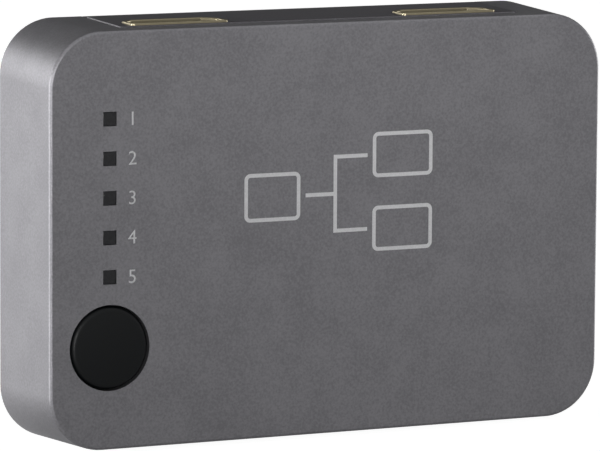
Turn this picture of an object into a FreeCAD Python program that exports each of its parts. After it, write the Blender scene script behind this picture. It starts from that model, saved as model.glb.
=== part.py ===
import FreeCAD, Part
import math
import os
import types
import Sketcher

# Compact video splitter: an aluminium cup with five indicator windows and a push button in its face, two
# output receptacles in a black panel on its top side, and the input and the power inlet on its bottom side.
#
# Pieces are drawn in the case's own frame: X across from the middle of the face, Y back from the face, Z up
# from the middle of the face. place() then moves them to the part's frame, whose origin lies in the middle
# of the surface that the part stands on. Lengths are in millimetres.

# Each row is a driving dimension: its alias in the sheet, its value and what it measures.
SIZES = [
    ("case_width", 85.0, "labelled face, side to side"),
    ("case_height", 57.8, "labelled face, bottom to top"),
    ("case_depth", 16.5, "front shell, face to rear rim"),
    ("side_growth", 0.55, "draft: how far each side stands out further at the rear rim"),
    ("corner_radius", 7.9, "outer corners of the case"),
    ("edge_bevel", 0.3, "bevel round the face"),
    ("side_wall", 1.4, "side walls of the front shell"),
    ("face_wall", 1.5, "face of the front shell"),
    ("fit_gap", 0.1, "gap between pieces that fit in each other"),
    ("cover_thickness", 1.5, "rear cover"),
    ("cover_recess", 0.1, "rear cover behind the rim of the shell"),
    ("notch_margin", 11.7, "side of the case to the notch for a port panel"),
    ("notch_front", 3.0, "face to the notch for a port panel"),
    ("panel_proud", 0.16, "top port panel above the shell"),
    ("panel_sink", 0.05, "bottom port panel below the shell's surface"),
    ("panel_flange", 1.0, "thickness of a port panel's flange inside the wall"),
    ("panel_lap", 1.0, "overlap of a port panel's flange behind the wall"),
    ("panel_bevel", 0.1, "bevel round a port panel"),
    ("pillar_side", 5.0, "square pillars that take the cover screws"),
    ("pillar_bite", 1.05, "corner of a pillar inside the case wall"),
    ("post_radius", 2.2, "round posts that carry the board"),
    ("post_gap", 1.2, "output receptacle to the post beside it"),
    ("post_height", 21.5, "posts above and below the middle"),
    ("window_side", 2.0, "square indicator windows"),
    ("window_pitch", 5.45, "from one window to the next"),
    ("window_count", 5, "number of windows"),
    ("window_inset", 8.9, "left edge of the face to the windows' and button's centre line"),
    ("window_drop", 12.05, "top edge of the face to the first window's centre"),
    ("button_drop", 9.8, "last window's centre to the button's centre"),
    ("button_diameter", 11.55, "push button"),
    ("button_gap", 0.2, "gap round the button in the face"),
    ("button_dome", 0.35, "middle of the button in front of the face"),
    ("button_round", 0.3, "rounding of the button's rim"),
    ("button_top", 1.2, "back of the button's crown, behind the face"),
    ("button_wall", 1.2, "skirt of the button"),
    ("flange_reach", 0.575, "button's retaining flange beyond its skirt"),
    ("flange_thickness", 0.8, "button's retaining flange"),
    ("stem_radius", 2.0, "stem that pushes the switch"),
    ("collar_gap", 0.15, "button's flange to the collar round it"),
    ("collar_wall", 0.8, "collar round the button"),
    ("collar_height", 1.6, "collar behind the face"),
    ("room_gap", 0.3, "pillars and collar to the switch and the light guide"),
    ("rest_gap", 0.05, "running clearance of pieces that rest on each other"),
    ("guide_recess", 0.12, "indicator ends behind the face"),
    ("guide_strip_width", 3.2, "strip that joins the light guide's ends"),
    ("guide_strip_thickness", 0.65, "strip that joins the light guide's ends"),
    ("guide_post_side", 1.8, "light guide's legs towards the diodes"),
    ("guide_lead", 0.55, "light guide's legs above the diodes"),
    ("holder_wall", 1.1, "light guide holder round its cells"),
    ("holder_cell", 2.1, "square cells of the light guide holder"),
    ("diode_width", 1.6, "indicator diodes, across"),
    ("diode_height", 0.8, "indicator diodes, up"),
    ("diode_thickness", 0.6, "indicator diodes"),
    ("socket_width", 14.7, "receptacle shell, outside"),
    ("socket_depth", 5.25, "receptacle shell, outside, face side to board side"),
    ("socket_sheet", 0.35, "sheet metal of the receptacle shell"),
    ("socket_length", 11.5, "receptacle shell, mouth to rear"),
    ("socket_front", 3.5, "face of the case to the receptacle shell"),
    ("socket_cut_across", 1.9, "slanted corners of the receptacle, across"),
    ("socket_cut_deep", 1.7, "slanted corners of the receptacle, back"),
    ("socket_clearance", 0.15, "gap round a connector in its panel"),
    ("socket_proud", 0.3, "mouth of an output receptacle above its panel"),
    ("mouth_bevel", 0.2, "bevel inside the receptacle's mouth"),
    ("peg_width", 1.2, "receptacle's board pegs"),
    ("peg_near", 5.2, "mouth to the nearer pegs"),
    ("peg_far", 10.0, "mouth to the farther pegs"),
    ("peg_reach", 0.8, "pegs behind the board"),
    ("peg_clearance", 0.15, "gap round a peg in the board"),
    ("output_1_inset", 9.34, "notch's left end to the first output's centre"),
    ("output_2_inset", 10.57, "notch's right end to the second output's centre"),
    ("tongue_width", 11.6, "receptacle's tongue"),
    ("tongue_thickness", 1.7, "receptacle's tongue"),
    ("tongue_recess", 1.0, "tongue's tip behind the mouth"),
    ("block_length", 2.4, "insulator block at the receptacle's rear"),
    ("contact_pitch", 1.0, "contacts of one row"),
    ("contact_count", 10, "contacts of the front row; the other row has one less"),
    ("contact_width", 0.4, "contacts"),
    ("contact_thickness", 0.2, "contacts"),
    ("contact_setback", 0.6, "contacts behind the tongue's tip"),
    ("tail_reach", 0.6, "contact tails behind the receptacle"),
    ("contact_foot", 0.8, "contact feet on the board"),
    ("jack_inset", 11.8, "notch's left end to the power inlet's centre"),
    ("jack_width", 6.0, "power inlet, across"),
    ("jack_depth", 5.0, "power inlet, face side to board side"),
    ("jack_length", 11.0, "power inlet, mouth to rear"),
    ("jack_bore", 3.8, "power inlet's bore"),
    ("jack_wall", 1.5, "rear wall of the power inlet"),
    ("jack_pin", 1.3, "power inlet's centre pin"),
    ("jack_pin_recess", 0.8, "centre pin behind the mouth"),
    ("jack_pin_tail", 0.5, "centre pin behind the housing"),
    ("spring_sheet", 0.25, "power inlet's contact spring"),
    ("spring_width", 1.6, "power inlet's contact spring"),
    ("spring_slot", 2.6, "power inlet's axis to the floor of the spring's slot"),
    ("spring_crest", 1.65, "power inlet's axis to the crest of the spring"),
    ("board_thickness", 1.6, "main board"),
    ("board_side_gap", 0.8, "main board to the side walls"),
    ("board_edge_gap", 0.2, "main board to the port panels"),
    ("board_notch_gap", 0.5, "main board to the pillars"),
    ("screw_diameter", 2.0, "all screws"),
    ("screw_fit", 0.02, "screw in its thread, per side"),
    ("screw_clearance", 0.15, "screw in a clearance hole, per side"),
    ("screw_head", 3.8, "screw heads"),
    ("screw_head_height", 1.3, "heads of the board screws"),
    ("screw_sink", 0.05, "cover screw heads below the cover"),
    ("screw_bite", 4.5, "thread inside a pillar or post"),
    ("screw_bottom_gap", 0.7, "thread hole beyond the screw"),
    ("recess_width", 0.5, "cross recess in the screw heads"),
    ("recess_length", 2.0, "cross recess in the screw heads"),
    ("recess_depth", 0.6, "cross recess in the screw heads"),
    ("foot_diameter", 8.0, "rubber feet"),
    ("foot_thickness", 1.2, "rubber feet"),
    ("foot_recess", 0.4, "seats of the feet in the cover"),
    ("foot_round", 0.4, "rounding of the feet"),
    ("foot_across", 28.5, "feet left and right of the middle"),
    ("foot_up", 21.0, "feet above and below the middle"),
    ("film_thickness", 0.2, "insulating film"),
    ("film_margin", 1.6, "insulating film to the pieces round it"),
    ("switch_side", 6.0, "tactile switch"),
    ("switch_top", 3.5, "switch base above the board"),
    ("switch_cover", 0.3, "switch's cover plate"),
    ("switch_opening", 3.6, "hole in the switch's cover plate"),
    ("switch_cavity", 4.4, "bore of the switch base"),
    ("switch_floor", 0.8, "floor of the switch base"),
    ("plunger_reach", 0.7, "plunger in front of the cover plate"),
    ("plunger_gap", 0.1, "plunger's neck in the cover plate, per side"),
    ("plunger_flange", 0.8, "plunger's flange, thickness"),
    ("plunger_flange_gap", 0.1, "plunger's flange in the base, per side"),
    ("nub_radius", 0.6, "plunger's nub on the snap dome"),
    ("dome_radius", 2.0, "snap dome"),
    ("dome_flat", 1.1, "snap dome's flat middle, radius"),
    ("dome_rise", 0.9, "snap dome"),
    ("dome_sheet", 0.1, "snap dome"),
    ("terminal_width", 0.7, "switch's terminals"),
    ("terminal_sheet", 0.2, "switch's terminals"),
    ("terminal_reach", 0.9, "switch's terminals beside its base"),
    ("terminal_rise", 1.2, "switch's terminals above the board"),
    ("terminal_pitch", 4.5, "switch's terminals, up"),
    ("chip_side", 10.0, "splitter chip"),
    ("chip_thickness", 1.4, "splitter chip"),
    ("chip_standoff", 0.1, "chips above the board"),
    ("chip_lead_count", 16, "leads on a side of the splitter chip"),
    ("lead_pitch", 0.5, "leads of the splitter chip"),
    ("lead_width", 0.22, "leads of the splitter chip"),
    ("lead_sheet", 0.15, "leads"),
    ("lead_reach", 1.0, "leads beside their chip"),
    ("lead_foot", 0.6, "feet of the leads"),
    ("small_lead_pitch", 1.27, "leads of the small chips"),
    ("small_lead_width", 0.42, "leads of the small chips"),
    ("tape_thickness", 0.25, "thermal tape"),
    ("sink_side", 14.0, "heat sink"),
    ("sink_base", 1.0, "heat sink's plate"),
    ("sink_gap", 1.0, "heat sink to the face"),
    ("fin_count", 6, "heat sink's fins"),
    ("fin_thickness", 0.8, "heat sink's fins"),
    ("memory_width", 3.9, "memory chip"),
    ("memory_height", 4.9, "memory chip"),
    ("memory_thickness", 1.4, "memory chip"),
    ("memory_lead_count", 4, "leads on a side of the memory chip"),
    ("regulator_width", 6.5, "voltage regulator"),
    ("regulator_height", 3.5, "voltage regulator"),
    ("regulator_thickness", 1.6, "voltage regulator"),
    ("regulator_lead_pitch", 2.3, "leads of the voltage regulator"),
    ("regulator_lead_width", 0.7, "leads of the voltage regulator"),
    ("regulator_lead_count", 3, "leads of the voltage regulator"),
    ("crystal_width", 3.2, "timing crystal"),
    ("crystal_height", 5.0, "timing crystal"),
    ("crystal_thickness", 1.1, "timing crystal"),
    ("inductor_side", 6.0, "power inductor"),
    ("inductor_thickness", 2.8, "power inductor"),
    ("inductor_radius", 1.2, "corners of the power inductor"),
    ("can_diameter", 5.0, "electrolytic capacitors"),
    ("can_height", 5.0, "electrolytic capacitors above the board"),
    ("can_base", 0.8, "feet plates of the electrolytic capacitors"),
    ("can_round", 0.4, "rounding of the electrolytic capacitors"),
    ("ceramic_width", 1.6, "ceramic capacitors"),
    ("ceramic_height", 0.8, "ceramic capacitors"),
    ("ceramic_thickness", 0.8, "ceramic capacitors"),
    ("ceramic_pitch", 1.9, "ceramic capacitors, up"),
    ("resistor_width", 1.0, "chip resistors"),
    ("resistor_height", 0.5, "chip resistors"),
    ("resistor_thickness", 0.35, "chip resistors"),
    ("resistor_pitch", 1.3, "chip resistors, up"),
    ("array_width", 2.5, "signal protection arrays"),
    ("array_height", 1.0, "signal protection arrays"),
    ("array_thickness", 0.55, "signal protection arrays"),
    ("array_drop", 2.6, "contact feet to the signal protection arrays"),
]

# Where the small components stand on the board: across from its middle and up from its middle.
LAYOUT = {
    "chip": (0.0, 2.0),
    "memory": (16.5, 3.0),
    "regulator": (-1.0, -14.5),
    "crystal": (12.0, -5.5),
    "inductor": (-9.5, -13.0),
    "can_left": (-22.0, -10.5),
    "can_right": (-16.0, -10.5),
    "ceramic_left": (-12.0, 6.0),
    "ceramic_right": (22.5, 6.0),
    "resistor_left": (-16.0, 6.0),
    "resistor_right": (26.0, 6.0),
}
ROW_COUNT = 7                     # small components in each of their rows
DIAGONAL = math.sqrt(0.5)         # share of a slanted reach that lies along either axis
OVERCUT = 1.0                     # how far cuts run past a surface
TINY = 0.001                      # tolerance for finding edges
FULL_TURN = 360
HALF_TURN = 180
QUARTER_TURN = 90
COUNTERSINK_ANGLE = 90

doc = FreeCAD.newDocument("video_splitter")
sheet = doc.addObject("Spreadsheet::Sheet", "Dims")
pieces = []


class Size:
    """A length with its spreadsheet formula, so that a sketch is drawn near its final shape."""

    def __init__(self, formula, value):
        self.formula = formula
        self.value = value

    def __add__(self, other):
        other = as_size(other)
        return Size("(%s + %s)" % (self.formula, other.formula), self.value + other.value)

    def __sub__(self, other):
        other = as_size(other)
        return Size("(%s - %s)" % (self.formula, other.formula), self.value - other.value)

    def __mul__(self, other):
        other = as_size(other)
        return Size("(%s * %s)" % (self.formula, other.formula), self.value * other.value)

    def __truediv__(self, other):
        other = as_size(other)
        return Size("(%s / %s)" % (self.formula, other.formula), self.value / other.value)

    def __neg__(self):
        return Size("(0 - %s)" % self.formula, -self.value)

    def __radd__(self, other):
        return as_size(other) + self

    def __rsub__(self, other):
        return as_size(other) - self

    def __rmul__(self, other):
        return as_size(other) * self


def as_size(amount):
    """A plain number as a Size."""
    return amount if isinstance(amount, Size) else Size("(%r)" % amount, amount)


def root(amount):
    """The square root of a Size."""
    return Size("sqrt(%s)" % amount.formula, math.sqrt(amount.value))


def fill_sheet():
    """Write the driving dimensions into the sheet and give each one back by its alias."""
    rows = list(SIZES)
    for name, (across, up) in LAYOUT.items():
        rows.append((name + "_across", across, "across from the middle of the board"))
        rows.append((name + "_up", up, "up from the middle of the board"))
    for number, (alias, value, note) in enumerate(rows, start=1):
        sheet.set("A%d" % number, alias)
        sheet.set("B%d" % number, str(value))
        sheet.setAlias("B%d" % number, alias)
        sheet.set("C%d" % number, note)
    doc.recompute()
    return types.SimpleNamespace(**{row[0]: Size("Dims." + row[0], getattr(sheet, row[0])) for row in rows})


size = fill_sheet()

# Planes and centre lines that several pieces share
half_width = size.case_width / 2
half_height = size.case_height / 2
cover_back = size.case_depth - size.cover_recess
cover_front = cover_back - size.cover_thickness
foot_end = cover_back - size.foot_recess + size.foot_thickness
frame_depth = (foot_end - size.button_dome) / 2
frame_height = half_height + size.side_growth
notch_half = half_width - size.notch_margin
board_front = size.socket_front + size.socket_depth
board_back = board_front + size.board_thickness
board_half_width = half_width - size.side_wall - size.board_side_gap
board_half_height = half_height - size.side_wall - size.fit_gap - size.panel_flange - size.board_edge_gap
pillar_reach = (size.corner_radius - size.side_wall + size.pillar_bite) * DIAGONAL
screw_across = half_width - size.corner_radius + pillar_reach - size.pillar_side / 2
screw_up = half_height - size.corner_radius + pillar_reach - size.pillar_side / 2
column_across = size.window_inset - half_width
first_window_up = half_height - size.window_drop
last_window_up = first_window_up - size.window_pitch * (size.window_count - 1)
button_up = last_window_up - size.button_drop
button_radius = size.button_diameter / 2
flange_front = size.face_wall + size.rest_gap
flange_radius = button_radius + size.flange_reach
output_1_across = size.output_1_inset - notch_half
output_2_across = notch_half - size.output_2_inset
jack_across = size.jack_inset - notch_half
jack_axis = board_front - size.jack_depth / 2
switch_front = board_front - size.switch_top
plunger_front = switch_front - size.switch_cover - size.plunger_reach
dome_top = board_front - size.switch_floor - size.dome_rise
holder_reach = size.holder_cell / 2 + size.holder_wall
left_post = output_1_across + size.socket_width / 2 + size.post_gap + size.post_radius
right_post = output_2_across - size.socket_width / 2 - size.post_gap - size.post_radius
post_places = [(left_post, size.post_height), (right_post, size.post_height),
               (left_post, -size.post_height), (right_post, -size.post_height)]
pillar_places = [(-screw_across, screw_up), (screw_across, screw_up),
                 (-screw_across, -screw_up), (screw_across, -screw_up)]


def growth(depth):
    """How far the drafted sides stand out at a depth behind the face."""
    return size.side_growth * depth / size.case_depth


def output_mouth():
    """Height of the output receptacles' mouths above the middle of the face."""
    return half_height + growth(size.socket_front) + size.panel_proud + size.socket_proud


def bottom_mouth():
    """How far the mouths on the bottom side lie below the middle of the face."""
    return half_height + growth(size.socket_front) - size.panel_sink


# Helpers for the document

def bind(thing, prop, amount):
    """Tie a property to its spreadsheet formula."""
    thing.setExpression(prop, as_size(amount).formula)


def turn_about_depth(thing, angle):
    """Turn a sub-part about the front-to-back axis."""
    thing.Placement = FreeCAD.Placement(FreeCAD.Vector(), FreeCAD.Rotation(FreeCAD.Vector(0, 1, 0), angle))


def place(thing, across=0.0, up=0.0, turned=False):
    """Move a sub-part from the case's frame to the part's frame; a turned one points downwards."""
    turn_about_depth(thing, HALF_TURN if turned else 0)
    bind(thing, "Placement.Base.x", across)
    bind(thing, "Placement.Base.y", -frame_depth)
    bind(thing, "Placement.Base.z", up + frame_height)


def piece(thing, label, **where):
    """Name a sub-part, put it in its place and list it for export."""
    thing.Label = label
    place(thing, **where)
    pieces.append(thing)
    return thing


def new_body(name):
    """An empty body."""
    return doc.addObject("PartDesign::Body", name)


def origin_feature(body, role):
    """The body's own origin plane or axis of that role."""
    return next(feature for feature in body.Origin.OriginFeatures if feature.Role == role)


def new_sketch(body, name, plane, lift):
    """A sketch on one of the body's origin planes, lifted along the plane's normal."""
    sketch = body.newObject("Sketcher::SketchObject", name)
    sketch.AttachmentSupport = [(origin_feature(body, plane), "")]
    sketch.MapMode = "FlatFace"
    bind(sketch, "AttachmentOffset.Base.z", lift)
    return sketch


def hold_point(sketch, element, corner, across, up):
    """Fix a point of a sketch by its two distances from the origin."""
    for kind, distance in (("DistanceX", as_size(across)), ("DistanceY", as_size(up))):
        held = Sketcher.Constraint(kind, -1, 1, element, corner, float(distance.value))
        number = sketch.addConstraint(held)
        sketch.setExpression("Constraints[%d]" % number, distance.formula)


def outline(sketch, *corners):
    """A closed outline of straight lines through the corners."""
    corners = [(as_size(across), as_size(up)) for across, up in corners]
    points = [FreeCAD.Vector(across.value, up.value, 0) for across, up in corners]
    first = sketch.GeometryCount
    count = len(corners)
    sides = [Part.LineSegment(points[side], points[(side + 1) % count]) for side in range(count)]
    sketch.addGeometry(sides, False)
    for side in range(count):
        joined = Sketcher.Constraint("Coincident", first + side, 2, first + (side + 1) % count, 1)
        sketch.addConstraint(joined)
    for side, (across, up) in enumerate(corners):
        hold_point(sketch, first + side, 1, across, up)


def rectangle(sketch, left, right, low, high):
    """A rectangle by its four sides."""
    outline(sketch, (left, low), (right, low), (right, high), (left, high))


def circle(sketch, across, up, radius):
    """A circle by its middle and radius."""
    across, up, radius = as_size(across), as_size(up), as_size(radius)
    middle = FreeCAD.Vector(across.value, up.value, 0)
    number = sketch.addGeometry(Part.Circle(middle, FreeCAD.Vector(0, 0, 1), radius.value), False)
    hold_point(sketch, number, 3, across, up)
    held = sketch.addConstraint(Sketcher.Constraint("Radius", number, radius.value))
    sketch.setExpression("Constraints[%d]" % held, radius.formula)


def extrude(body, name, plane, lift, length, shapes, cut, reverse):
    """Pad or pocket the shapes, each a drawing function with its measures."""
    sketch = new_sketch(body, name + "_profile", plane, lift)
    for draw, *measures in shapes:
        draw(sketch, *measures)
    feature = body.newObject("PartDesign::Pocket" if cut else "PartDesign::Pad", name)
    feature.Profile = sketch
    feature.Reversed = reverse
    bind(feature, "Length", length)
    body.Tip = feature
    return feature


def layer(body, name, front, back, shapes, cut=False):
    """Shapes drawn in front view that run from one depth to another, as material or as a cut."""
    front = as_size(front)
    return extrude(body, name, "XZ_Plane", -front, back - front, shapes, cut, not cut)


def column(body, name, low, high, shapes, cut=False):
    """Shapes drawn in top view that run from one height to another, as material or as a cut."""
    low = as_size(low)
    return extrude(body, name, "XY_Plane", low, high - low, shapes, cut, cut)


def strip(body, name, left, right, shapes):
    """Shapes drawn in side view, as (depth, height), that run from one side to another."""
    left = as_size(left)
    return extrude(body, name, "YZ_Plane", left, right - left, shapes, False, False)


def row(body, name, features, axis, pitch, count, reverse=False):
    """Repeat features along one of the body's axes."""
    pattern = body.newObject("PartDesign::LinearPattern", name)
    pattern.Originals = features
    pattern.Direction = (origin_feature(body, axis), [""])
    pattern.Reversed = reverse
    bind(pattern, "Length", pitch * (count - 1))
    bind(pattern, "Occurrences", count)
    body.Tip = pattern
    return pattern


def wedge(body, name, front, back, across, high, low=None):
    """A drafted block whose half width, top and underside are functions of the depth."""
    block = body.newObject("PartDesign::AdditiveWedge", name)
    bind(block, "Ymin", front)
    bind(block, "Ymax", back)
    for prefix, depth in (("", as_size(front)), ("2", as_size(back))):
        bind(block, "X%smin" % prefix, -across(depth))
        bind(block, "X%smax" % prefix, across(depth))
        bind(block, "Z%smin" % prefix, low(depth) if low else -high(depth))
        bind(block, "Z%smax" % prefix, high(depth))
    body.Tip = block
    return block


def dress(body, name, kind, base, wanted, amount):
    """Fillet or chamfer the wanted edges of the base feature."""
    doc.recompute()
    edges = ["Edge%d" % number for number, edge in enumerate(base.Shape.Edges, start=1) if wanted(edge)]
    feature = body.newObject("PartDesign::" + kind, name)
    feature.Base = (base, edges)
    bind(feature, "Radius" if kind == "Fillet" else "Size", amount)
    body.Tip = feature
    return feature


def ends(edge):
    """The end points of an edge."""
    return [vertex.Point for vertex in edge.Vertexes]


def runs_deep(edge):
    """Whether an edge runs mostly from front to back."""
    points = ends(edge)
    if len(points) != 2:
        return False
    run = points[1] - points[0]
    return abs(run.y) > abs(run.x) + abs(run.z) + TINY


def revolve(body, name, *corners):
    """Turn an outline of (radius, depth) corners about the body's front-to-back axis."""
    sketch = new_sketch(body, name + "_profile", "XY_Plane", 0)
    outline(sketch, *corners)
    feature = body.newObject("PartDesign::Revolution", name)
    feature.Profile = sketch
    feature.ReferenceAxis = (sketch, ["V_Axis"])
    feature.Angle = FULL_TURN
    body.Tip = feature
    return feature


def group(name, members):
    """Several pieces as one sub-part."""
    compound = doc.addObject("Part::Compound", name)
    compound.Links = members
    return compound


def copies(name, original, places):
    """Copies of one piece at (across, up) places, with an optional turn about the front-to-back axis."""
    links = []
    for number, (across, up, *turn) in enumerate(places, start=1):
        link = doc.addObject("App::Link", "%s_%d" % (name, number))
        link.LinkedObject = original
        link.LinkTransform = True
        turn_about_depth(link, turn[0] if turn else 0)
        bind(link, "Placement.Base.x", across)
        bind(link, "Placement.Base.z", up)
        links.append(link)
    return group(name, links)


def plate(name, width, height, front, back):
    """A body that is one plain block, centred across and up."""
    body = new_body(name)
    width, height = as_size(width), as_size(height)
    layer(body, name + "_block", front, back, [(rectangle, -width / 2, width / 2, -height / 2, height / 2)])
    return body


def square(sketch, across, up, side):
    """A square by its middle and side."""
    across, up = as_size(across), as_size(up)
    rectangle(sketch, across - side / 2, across + side / 2, up - side / 2, up + side / 2)


def cross(sketch, length, width):
    """A plus-shaped outline about the origin."""
    long, short = length / 2, width / 2
    outline(sketch, (-long, -short), (-short, -short), (-short, -long), (short, -long), (short, -short),
            (long, -short), (long, short), (short, short), (short, long), (-short, long), (-short, short),
            (-long, short))


# Case

def side_at(depth):
    """Half the width of the case at a depth."""
    return half_width + growth(depth)


def top_at(depth):
    """Half the height of the case at a depth."""
    return half_height + growth(depth)


def make_front_shell():
    """The cup: drafted sides, face, notches for the port panels, pillars, posts and the button's collar."""
    body = new_body("front_shell")
    outside = wedge(body, "outside", 0, size.case_depth, side_at, top_at)
    corners = dress(body, "corners", "Fillet", outside, runs_deep, size.corner_radius)

    def on_face(edge):
        return all(abs(point.y) < TINY for point in ends(edge))

    dress(body, "face_bevel", "Chamfer", corners, on_face, size.edge_bevel)
    cavity = new_body("cavity")
    inside = wedge(cavity, "inside", size.face_wall, size.case_depth + OVERCUT,
                   lambda depth: side_at(depth) - size.side_wall,
                   lambda depth: top_at(depth) - size.side_wall)
    dress(cavity, "cavity_corners", "Fillet", inside, runs_deep, size.corner_radius - size.side_wall)
    hollow = body.newObject("PartDesign::Boolean", "hollow")
    hollow.Type = "Cut"
    hollow.setObjects([cavity])
    body.Tip = hollow
    beyond = half_height + size.side_growth + OVERCUT
    layer(body, "notches", size.notch_front, size.case_depth + OVERCUT,
          [(rectangle, -notch_half, notch_half, -beyond, beyond)], cut=True)
    rooted = size.face_wall / 2
    layer(body, "pillars", rooted, cover_front,
          [(square, across, up, size.pillar_side) for across, up in pillar_places])
    layer(body, "posts", rooted, board_front,
          [(circle, across, up, size.post_radius) for across, up in post_places])
    collar_inside = flange_radius + size.collar_gap
    collar_end = size.face_wall + size.collar_height
    layer(body, "collar", rooted, collar_end,
          [(circle, column_across, button_up, collar_inside + size.collar_wall)])
    layer(body, "button_room", size.face_wall, collar_end,
          [(circle, column_across, button_up, collar_inside)], cut=True)
    across = size.switch_side / 2 + size.terminal_reach + size.room_gap
    up = size.switch_side / 2 + size.room_gap
    layer(body, "switch_room", collar_end, board_front,
          [(rectangle, column_across - across, column_across + across, button_up - up, button_up + up)],
          cut=True)
    reach = holder_reach + size.room_gap
    layer(body, "light_guide_room", size.face_wall, board_front,
          [(rectangle, column_across - reach, column_across + reach,
            last_window_up - reach, first_window_up + reach)], cut=True)
    thread = size.screw_diameter / 2 + size.screw_fit
    thread_length = size.screw_bite + size.screw_bottom_gap
    layer(body, "pillar_threads", cover_front - thread_length, cover_front + OVERCUT,
          [(circle, across, up, thread) for across, up in pillar_places], cut=True)
    layer(body, "post_threads", board_front - thread_length, board_front + OVERCUT,
          [(circle, across, up, thread) for across, up in post_places], cut=True)
    layer(body, "button_hole", -OVERCUT, size.face_wall + OVERCUT,
          [(circle, column_across, button_up, button_radius + size.button_gap)], cut=True)
    window = layer(body, "window", -OVERCUT, size.face_wall + OVERCUT,
                   [(square, column_across, first_window_up, size.window_side)], cut=True)
    row(body, "windows", [window], "Z_Axis", size.window_pitch, size.window_count, reverse=True)
    piece(body, "front_shell")


def make_rear_cover():
    """The back plate: it lies inside the shell, and its two tabs fill the rear of the notches."""
    body = new_body("rear_cover")
    inset = size.side_wall + size.fit_gap
    inside = wedge(body, "inside_plate", cover_front, cover_back,
                   lambda depth: side_at(depth) - inset, lambda depth: top_at(depth) - inset)
    dress(body, "plate_corners", "Fillet", inside, runs_deep, size.corner_radius - inset)
    wedge(body, "tabs", cover_front, cover_back, lambda depth: notch_half - size.fit_gap, top_at)
    layer(body, "foot_seats", cover_back - size.foot_recess, cover_back + OVERCUT,
          [(circle, across, up, size.foot_diameter / 2 + size.fit_gap) for across, up in foot_places()],
          cut=True)
    marks = new_sketch(body, "screw_places", "XZ_Plane", -cover_back)
    for across, up in pillar_places:
        circle(marks, across, up, size.screw_diameter / 2 + size.screw_clearance)
    doc.recompute()
    holes = body.newObject("PartDesign::Hole", "screw_holes")
    holes.Profile = marks
    holes.Reversed = True
    holes.Threaded = False
    holes.DepthType = "ThroughAll"
    holes.HoleCutType = "Countersink"
    holes.HoleCutCustomValues = True
    holes.HoleCutCountersinkAngle = COUNTERSINK_ANGLE
    bind(holes, "Diameter", size.screw_diameter + size.screw_clearance * 2)
    bind(holes, "HoleCutDiameter", size.screw_head + size.screw_clearance * 2)
    body.Tip = holes
    piece(body, "rear_cover")


def foot_places():
    """Where the feet stand, across and up."""
    return [(size.foot_across * across, size.foot_up * up) for up in (1, -1) for across in (-1, 1)]


def make_rubber_feet():
    """Four round feet, glued into seats in the cover."""
    seat = cover_back - size.foot_recess
    foot = new_body("foot")
    radius = size.foot_diameter / 2
    revolve(foot, "disc", (0, seat), (radius, seat), (radius, foot_end), (0, foot_end))

    def at_rear(edge):
        return all(abs(point.y - foot_end.value) < TINY for point in ends(edge))

    dress(foot, "rim", "Fillet", foot.Tip, at_rear, size.foot_round)
    piece(copies("rubber_feet", foot, foot_places()), "rubber_feet")


def cross_recess(body, front, back):
    """The driver's recess in a screw head."""
    layer(body, "cross_recess", front, back, [(cross, size.recess_length, size.recess_width)], cut=True)


def make_cover_screws():
    """Countersunk screws from the cover into the pillars."""
    screw = new_body("cover_screw")
    radius = size.screw_diameter / 2
    head = size.screw_head / 2
    top = cover_back - size.screw_sink
    tip = cover_front - size.screw_bite
    revolve(screw, "turned", (0, tip), (radius, tip), (radius, top - (head - radius)), (head, top), (0, top))
    cross_recess(screw, top - size.recess_depth, top + OVERCUT)
    piece(copies("cover_screws", screw, pillar_places), "cover_screws")


def make_board_screws():
    """Flat-headed screws from behind the board into the posts."""
    screw = new_body("board_screw")
    radius = size.screw_diameter / 2
    head = size.screw_head / 2
    top = board_back + size.screw_head_height
    tip = board_front - size.screw_bite
    revolve(screw, "turned", (0, tip), (radius, tip), (radius, board_back), (head, board_back), (head, top),
            (0, top))
    cross_recess(screw, top - size.recess_depth, top + OVERCUT)
    piece(copies("board_screws", screw, post_places), "board_screws")


def make_insulating_film():
    """A film on the inside of the rear cover, clear of the pillars and the port panels."""
    across = screw_across - size.pillar_side / 2 - size.film_margin
    up = board_half_height - size.film_margin
    film = plate("insulating_film", across * 2, up * 2, cover_front - size.film_thickness, cover_front)
    piece(film, "insulating_film")


def make_port_panel(name, proud, openings, turned=False):
    """A moulded panel that fills a notch, with a flange behind the wall and openings for its connectors."""
    body = new_body(name)
    back = cover_front - size.fit_gap
    flange_top = size.side_wall + size.fit_gap
    plug = wedge(body, "plug", size.notch_front + size.fit_gap, back,
                 lambda depth: notch_half - size.fit_gap,
                 lambda depth: top_at(depth) + proud,
                 lambda depth: top_at(depth) - flange_top - size.panel_flange / 2)
    outer_up = (half_height + proud - size.panel_bevel).value

    def on_outside(edge):
        return all(point.z > outer_up for point in ends(edge))

    dress(body, "bevel", "Chamfer", plug, on_outside, size.panel_bevel)
    wedge(body, "flange", size.notch_front - size.panel_lap, back,
          lambda depth: notch_half + size.panel_lap,
          lambda depth: top_at(depth) - flange_top,
          lambda depth: top_at(depth) - flange_top - size.panel_flange)
    column(body, "openings", half_height - flange_top - size.panel_flange - OVERCUT,
           half_height + size.side_growth + OVERCUT, openings, cut=True)
    piece(body, name, turned=turned)


# Receptacles. Each is drawn with its mouth at height 0, facing up.

def socket_outline(sketch, middle, inset):
    """The receptacle's six-cornered outline, moved inwards by inset; its slanted corners face the board."""
    middle, inset = as_size(middle), as_size(inset)
    across, deep = size.socket_cut_across, size.socket_cut_deep
    slant = root(across * across + deep * deep)
    side = size.socket_width / 2 - inset
    front = size.socket_front + inset
    back = board_front - inset
    cut_depth = board_front - deep - inset * (slant - deep) / across
    cut_across = size.socket_width / 2 - across - inset * (slant - across) / deep
    outline(sketch, (middle - side, front), (middle + side, front), (middle + side, cut_depth),
            (middle + cut_across, back), (middle - cut_across, back), (middle - side, cut_depth))


def peg_places():
    """Height of the receptacle's pegs, from its mouth."""
    return [-size.peg_near, -size.peg_far]


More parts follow.
